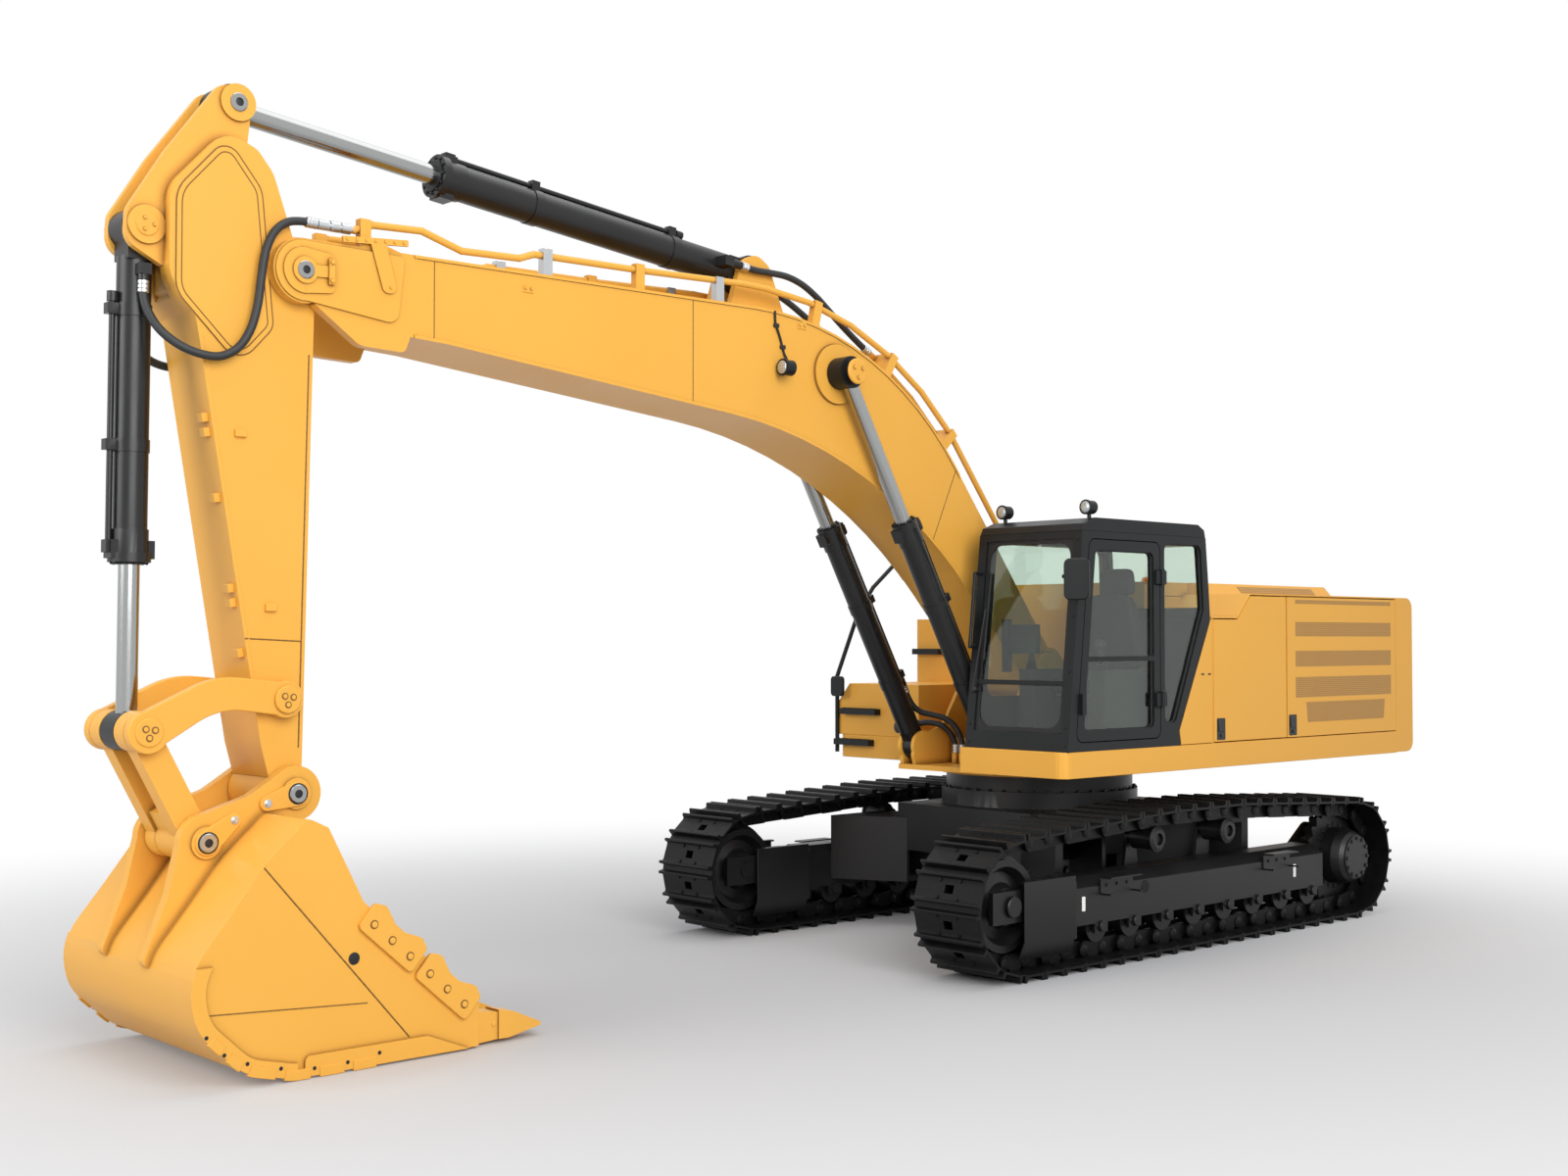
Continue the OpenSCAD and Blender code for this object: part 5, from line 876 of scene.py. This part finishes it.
# Painted shade: a black disc in the middle of each pin end stands for the shade in its centre
pin_shade_disc = button(22, 18, -2, 4, 5, 24)
NOSE_PIN = (6841, 330, 4425)
side_pieces("boom", ("boom_welds", bead(belly, BOOM_SIDE, 4), yellow),
            ("boom_seams", joined(*boom_seams), brown),
            ("boom_bolts", joined(nose_bolts, bracket_bolts, small_bolts, small_brackets), yellow),
            ("boom_nose_pin_end", spread(pin_end, NOSE_PIN, LEFT), bright),
            ("boom_nose_pin_shade_disc", spread(pin_shade_disc, NOSE_PIN, LEFT), black))

# Boom lamp: a round lamp on the left side plate, in a black rim. Its cable is clipped to the
# plate and runs up to the boom's back.
lamp_front("boom_lamp_rim", "boom_lamp_lens", "boom", (3220, 380, 4230), 60, 54, 46)


def smooth(corners, per=8):
    """Smooth path through points: the Catmull-Rom cubic of each four neighbours, sampled evenly."""
    c = np.array(corners, float)
    c = np.vstack([2 * c[0] - c[1], c, 2 * c[-1] - c[-2]])
    p0, p1, p2, p3 = c[:-3, None], c[1:-2, None], c[2:-1, None], c[3:, None]
    t = np.linspace(0, 1, per, endpoint=False)[None, :, None]
    spans = 0.5 * (2 * p1 + (p2 - p0) * t + (2 * p0 - 5 * p1 + 4 * p2 - p3) * t ** 2
                   + (3 * p1 - p0 - 3 * p2 + p3) * t ** 3)
    return np.vstack([spans.reshape(-1, 3), c[-2]])


lamp_cable = smooth([(3160, 360, 4262), (3140, 330, 4300), (3150, 309, 4350), (3185, 309, 4450),
                     (3225, 309, 4540), (3232, 309, 4600), (3232, 309, 4632)])
piece("boom_lamp_cable", swept(lamp_cable, 9, 8), rubber, "trim_black", "boom")
cable_clips = [tile(x, z, 22, 14, 5, BOOM_SIDE - 1, BOOM_SIDE + 20) for x, z in ((3160, 4385), (3220, 4530))]
piece("lamp_cable_clips", upright(joined(*cable_clips)), *black, "boom")


# Boom lines: bent steel tubes in the boom's yellow, clamped to its back, with plated sleeves
# and fittings where the hoses begin.
def paint_faces(node, material, chosen):
    """Gives the faces of a CAD node whose centres the test picks a second finish."""
    mesh = nodes[node].data
    mesh.materials.append(material)
    centres = np.empty(len(mesh.polygons) * 3)
    mesh.polygons.foreach_get("center", centres)
    picked = chosen(centres.reshape(-1, 3) / MM)
    before = np.empty(len(mesh.polygons), np.int32)
    mesh.polygons.foreach_get("material_index", before)
    index = np.where(picked, len(mesh.materials) - 1, before).astype(np.int32)
    mesh.polygons.foreach_set("material_index", index)
    mesh.update()


finish_nodes(["boom_lines"], yellow_enamel)
paint_faces("boom_lines", zinc, lambda c: (c[:, 0] > 6520) | (np.abs(c[:, :1] - [5150, 3720]) < 40).any(1))
clamp_bolts = spread(bolt(9, 9), [(5150, 262, 4795), (4410, 262, 4795), (3720, 262, 4795)], UP)
side_pieces("boom", ("line_clamp_bolts", clamp_bolts, (zinc, "machine_yellow")))

# Cylinders: honed steel barrels under satin black paint, with bolted heads and bands, and
# hard-chromed rods whose forged eyes are painted black.
STICK_ROD_PIN = (7173, 5350)
BUCKET_BASE_PIN = (7695, 4582)
BUCKET_ROD_PIN = (7716, 1838)
# Sprayed satin black: smooth and dark, so that long highlights run along the barrels
barrel_paint = sprayed_paint("satin_black_barrel_paint", "#131415", "#1b1b1c", 0.34, 260, 9, 0.08)
for node in ("boom_cylinder_barrels", "stick_cylinder_barrel", "bucket_cylinder_barrel"):
    softened(barrel_paint, node, 4)
finish_nodes(["boom_cylinder_rods", "stick_cylinder_rod", "bucket_cylinder_rod"], chrome)


def near_pin(pin, r):
    """True for points within r of a pin's axis."""
    return lambda c: np.hypot(c[:, 0] - pin[0], c[:, 2] - pin[1]) < r


paint_faces("boom_cylinder_rods", cab_paint, near_pin(BOOM_ROD_PIN, 122))
paint_faces("stick_cylinder_rod", cab_paint, near_pin(STICK_ROD_PIN, 124))
paint_faces("bucket_cylinder_rod", cab_paint, near_pin(BUCKET_ROD_PIN, 116))


def head_bolts(name, body, base, eye, length, r, ys, count):
    """Bolt heads in a ring on a cylinder's head, and its wiper ring, on the line from its base to its eye."""
    way = unit(np.array(eye, float) - base)
    wiper = button(r - 12, r - 18, -2, 8, 12, 36)
    ring = joined(spread(bolt(8, 12), circle_of(count, r), UP), wiper)
    heads = [(base[0] + way[0] * length, y, base[1] + way[1] * length) for y in ys]
    piece(name, spread(ring, heads, (way[0], 0, way[1])), cab_paint, "cylinder_black", body)


head_bolts("boom_cylinder_head_bolts", "boom_barrels", (1050, 1480), BOOM_ROD_PIN, 1980, 80, (400, -400), 10)
head_bolts("stick_cylinder_head_bolts", "stick_barrel", (3270, 4920), STICK_ROD_PIN, 2550, 112, (0,), 12)
head_bolts("bucket_cylinder_head_bolts", "bucket_barrel", BUCKET_BASE_PIN, BUCKET_ROD_PIN, 1830, 92, (0,), 10)
rod_cap = bolted_cap(button(92, 84, -6, 6, 12, 40), (13, 12), circle_of(3, 46, 0.5) + [0, 0, 12])
side_pieces("boom_rods", ("boom_rod_pin_caps", spread(rod_cap, at_y([BOOM_ROD_PIN], 522), LEFT), yellow))

# Stick: a tapered box of welded plates with a doubler round the boom pin, cast lugs above and
# a boss below; a seam joins its lower end, and small lubrication blocks sit along its front.
softened(yellow_enamel, "stick", 5)
STICK_SIDE = 222
doubler_line = fillet([(6985, 4090, 90), (7190, 3860, 120), (7560, 4230, 160), (7560, 4790, 200),
                       (7270, 5120, 90), (7060, 4860, 160)])
# The doubler's two rims and the stick's seams are brown lines of painted shade
doubler_rims = [swept(at_y(line, STICK_SIDE + 4), 3.5, 8, True)
                for line in (doubler_line, inset(doubler_line, 32))]
stick_seams = joined(bead([(6800, 2322), (7140, 2338)], STICK_SIDE, 4),
                     bead([(6811, 1720), (6762, 3960)], STICK_SIDE, 4.5), *doubler_rims)
side_pieces("stick", ("stick_welds", bead([(7085, 2150), (7398, 4000)], STICK_SIDE, 4), yellow),
            ("stick_seams", stick_seams, brown))


def stick_front(z):
    """The stick's front edge: x from 7041 at the foot to 7447 under the bend."""
    return 7041 + (7447 - 7041) * (z - 1746) / (4138 - 1746)


front_block = tile(0, 0, 34, 26, 6, -2, 34, 4)
block_places = [(stick_front(z), 150, z) for z in (2260, 2540, 2620, 3120, 3480, 3560)]
side_blocks = [upright(tile(x, z, 34, 22, 6, STICK_SIDE - 1, STICK_SIDE + 24, 4))
               for x, z in ((6990, 2512), (7180, 3480))]
piece("stick_blocks", joined(spread(front_block, block_places, (1, 0, -0.17)), *side_blocks), *yellow, "stick")
lug_cap = bolted_cap(button(64, 58, -4, 6, 10, 32), (9, 9), circle_of(3, 36) + [0, 0, 10])
lug_pin = at_y([STICK_ROD_PIN], 166)
side_pieces("stick", ("stick_lug_caps", spread(lug_cap, at_y([BUCKET_BASE_PIN], 162), LEFT), yellow),
            ("stick_lug_pin_ends", spread(pin_end, lug_pin, LEFT), bright),
            ("stick_lug_pin_shade_discs", spread(pin_shade_disc, lug_pin, LEFT), black))

# Links: cast side links and a forked power link under the yellow enamel, held by pins whose
# caps are sunk round three screws each.
softened(yellow_enamel, "side_links", 8, 3)
softened(yellow_enamel, "power_link", 8, 3)
screw_places = circle_of(3, 30, 0.4) + [0, 0, 11]
link_cap = joined(button(78, 72, -6, 6, 11, 40),
                  spread(button(13, 10, 0, 5, 7, 16), screw_places, UP))
# Painted shade: a brown disc under each screw stands for the shade in its recess
cap_recess = spread(button(20, 18, 0, 1.5, 2, 20), screw_places, UP)
cap_places = [(6922, 311, 1997), (7716, 299, 1838)]
side_pieces("side_links", ("side_link_caps", spread(link_cap, cap_places, LEFT), yellow),
            ("side_link_cap_recess_shades", spread(cap_recess, cap_places, LEFT), brown))

# Bucket: rolled wrapper and side plates with cast ears, wear plates and bolted side cutters; pins
# end in bright steel faces, and each tooth is held on its adapter by a cross pin.
for row in (("bucket", 5), ("bucket_teeth", 6), ("side_cutters", 5)):
    softened(yellow_enamel, *row)
BUCKET_SIDE = 820


def capsule(p, q, r0, r1, steps=14):
    """Outline round two circles: an arc about each, joined by the tangents common to both."""
    run = np.array(q, float) - p
    way = math.atan2(run[1], run[0])
    spare = math.acos((r0 - r1) / math.hypot(*run))
    back_arc = np.linspace(way + spare, way + 2 * np.pi - spare, 2 * steps)
    front_arc = np.linspace(way - spare, way + spare, steps)
    return np.vstack([arc(p, r0, back_arc), arc(q, r1, front_arc)])


# The bucket's two seams are brown lines of painted shade
bucket_seams = joined(bead([(7316, 1136), (6440, 130)], BUCKET_SIDE, 4.5),
                      bead([(7640, 408), (6702, 352)], BUCKET_SIDE, 3.5))
# Painted shade: the side hole is a black disc on the plate, standing for the shade inside it
hole_rim = spread(button(34, 30, -2, 2, 3, 28), (6786, BUCKET_SIDE, 602), LEFT)
KEEPER_FACE = 334
ear_pins = [(6868, 1468), (7397, 1232)]
keeper_ends = [(7050, 1424), (7245, 1345)]
keepers = [upright(plate(capsule(p, q, 70, 42), 305, KEEPER_FACE, 4)) for p, q in zip(ear_pins, keeper_ends)]
pin_faces = at_y(ear_pins, KEEPER_FACE)
# Painted shade: a black ring round each pin end stands for the shade of the recess round it
pin_recess_shade = button(60, 57, -2, 1.5, 2, 32)
pin_shades = joined(*[spread(shape, pin_faces, LEFT) for shape in (pin_shade_disc, pin_recess_shade)])
keeper_bolts = spread(bolt(17, 15), at_y(keeper_ends, KEEPER_FACE), LEFT)
cutter_start = np.array([5985, 250])
mouth_way = unit(np.array([6727, 902]) - cutter_start)
mouth_up = np.array([-mouth_way[1], mouth_way[0]])
cutter_at = [cutter_start + mouth_way * s - mouth_up * 62 for s in (100, 250, 400, 570, 720, 870)]
cutter_faces = at_y(cutter_at, 848)
cutter_bolts = spread(button(17, 13, 0, 8, 11, 20), cutter_faces, LEFT)
# Painted shade: a brown disc round each cutter bolt stands for the shade in its recess
cutter_recesses = spread(button(25, 23, -1, 1.5, 2, 24), cutter_faces, LEFT)
side_pieces("bucket", ("bucket_seams", bucket_seams, brown), ("bucket_side_hole_shades", hole_rim, black),
            ("bucket_pin_keepers", joined(*keepers), yellow),
            ("bucket_pin_ends", spread(pin_end, pin_faces, LEFT), bright),
            ("bucket_pin_shades", pin_shades, black),
            ("keeper_bolts", keeper_bolts, (zinc, "machine_yellow")),
            ("side_cutter_recess_shades", cutter_recesses, brown))
pin_sides = [(y, s) for y in range(-720, 721, 360) for s in (1, -1)]
tooth_pins = spread(button(17, 13, -2, 5, 7, 20), [(5860, y + s * 60, 116) for y, s in pin_sides],
                    [(0, s, 0) for y, s in pin_sides])
piece("bucket_bolts", joined(both_sides(cutter_bolts), tooth_pins), *yellow, "bucket")
heel_corners = [(6560, 12, 0), (7150, 12, 300), (7427, 80, 300), (7690, 330, 300), (7740, 606, 0)]
heel_line = stepped(fillet(heel_corners)[:-1], 6)
heel_out = unit(np.gradient(heel_line, axis=0))[:, ::-1] * [1, -1]
notches = [(6635, 75), (6829, 53), (7026, 52), (7220, 80), (7409, 134), (7537, 197), (7635, 299)]
stops = [int(np.argmin(np.linalg.norm(heel_line - notch, axis=1))) for notch in notches]
shrouds = []
for first, last in zip(stops[:-1], stops[1:]):
    run = np.arange(first + 4, last - 4)
    outline = np.vstack([heel_line[run] + 10 * heel_out[run], (heel_line[run] - 46 * heel_out[run])[::-1]])
    shrouds.append(upright(plate(outline, BUCKET_SIDE - 1, 843, 3)))
# Painted shade: each shroud hole is a black disc on the plate, standing for the shade inside it
heel_hole_shades = spread(button(11, 9, -2, 1.5, 2, 16), at_y(notches, 836), LEFT)
side_pieces("bucket", ("heel_shrouds", joined(*shrouds), yellow), ("heel_shroud_hole_shades", heel_hole_shades, black))

# Hoses: wire-braided rubber hoses between the boom's tubes and the cylinders, crimped in plated
# ferrules at both ends.
# Rubber over a wire braid: dull black; the braid is drawn 7 mm wide so that it shows
hose_rubber, add, place = new_material("braided_rubber_hose")
cover = add("TexNoise", {"Vector": place, "Scale": 1 / (26 * MM), "Detail": 3.0})
tone = add("Mix", {"Factor": cover, "A": "#18191a", "B": "#26282a"}, data_type="RGBA")
wrap = add("TexVoronoi", {"Vector": place, "Scale": 1 / (7 * MM)})
weave = add("Bump", {"Height": wrap, "Strength": 0.35, "Distance": 1 * MM})
hose_skin = add("BsdfPrincipled", {"Base Color": tone, "Roughness": 0.55, "Normal": weave})
add("OutputMaterial", {"Surface": hose_skin})
HOSE_R = 24
ferrule = turned([(26, 2), (31, 4), (31, 20), (28, 24), (31, 28), (31, 44), (28, 48), (31, 52), (31, 66),
                  (26, 70)], 20)
# For each hose: the bodies at its first and last end, the place where its bend is over, and its route
hose_routes = {
    "bucket_hose": ("boom", "stick", (7560, 262, 3980), [
        (6741, 262, 4712), (6840, 262, 4712), (6930, 264, 4690), (7010, 272, 4620), (7065, 282, 4500),
        (7090, 284, 4350), (7110, 284, 4200), (7150, 284, 4060), (7220, 284, 3950), (7320, 282, 3890),
        (7430, 270, 3890), (7540, 240, 3930), (7630, 190, 4010), (7680, 145, 4110), (7697, 124, 4200),
        (7697, 124, 4281.5)]),
    "stick_hose": ("stick_barrel", "boom", (2700, 185, 4830), [
        (3448, 185, 4940), (3320, 185, 4926), (3170, 185, 4926), (3000, 180, 4922), (2840, 168, 4888),
        (2690, 152, 4825), (2550, 136, 4745), (2420, 122, 4665), (2300, 116, 4592), (2190, 115, 4525),
        (2103, 115, 4477)]),
    "lower_boom_hose": ("boom_barrels", "house", (830, 220, 1500), [
        (1077, 445, 1752), (1036, 445, 1680), (1000, 412, 1658), (950, 348, 1664), (888, 272, 1640),
        (832, 228, 1575), (804, 205, 1500), (800, 200, 1460), (800, 200, 1420.5)]),
    "upper_boom_hose": ("boom_barrels", "house", (830, 150, 1560), [
        (1201, 400, 1969), (1151, 400, 1882), (1100, 387, 1802), (1038, 358, 1752), (965, 304, 1728),
        (892, 236, 1700), (835, 172, 1630), (804, 138, 1530), (798, 130, 1460), (798, 130, 1420.5)])}
for route, (first, last, bend_to, corners) in hose_routes.items():
    for side, prefix in ((1, "left_"), (-1, "right_")):
        name = prefix + route
        flip = np.array([1, side, 1])
        line = smooth(np.array(corners) * flip, 6)
        hose = piece(name + "_cord", swept(line, HOSE_R, 14), hose_rubber, "hose_rubber", "house", 60)
        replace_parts(hose, name)
        hose.parent = None
        (np.array(corners[0]) * flip * MM).tolist()
        (np.array(bend_to) * flip * MM).tolist()
        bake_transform(hose)
        for tag, end, body, way in (("near", line[0], first, line[1] - line[0]),
                                    ("far", line[-1], last, line[-2] - line[-1])):
            piece(name + "_" + tag + "_ferrule", spread(ferrule, end, way), zinc, "hose_rubber", body)
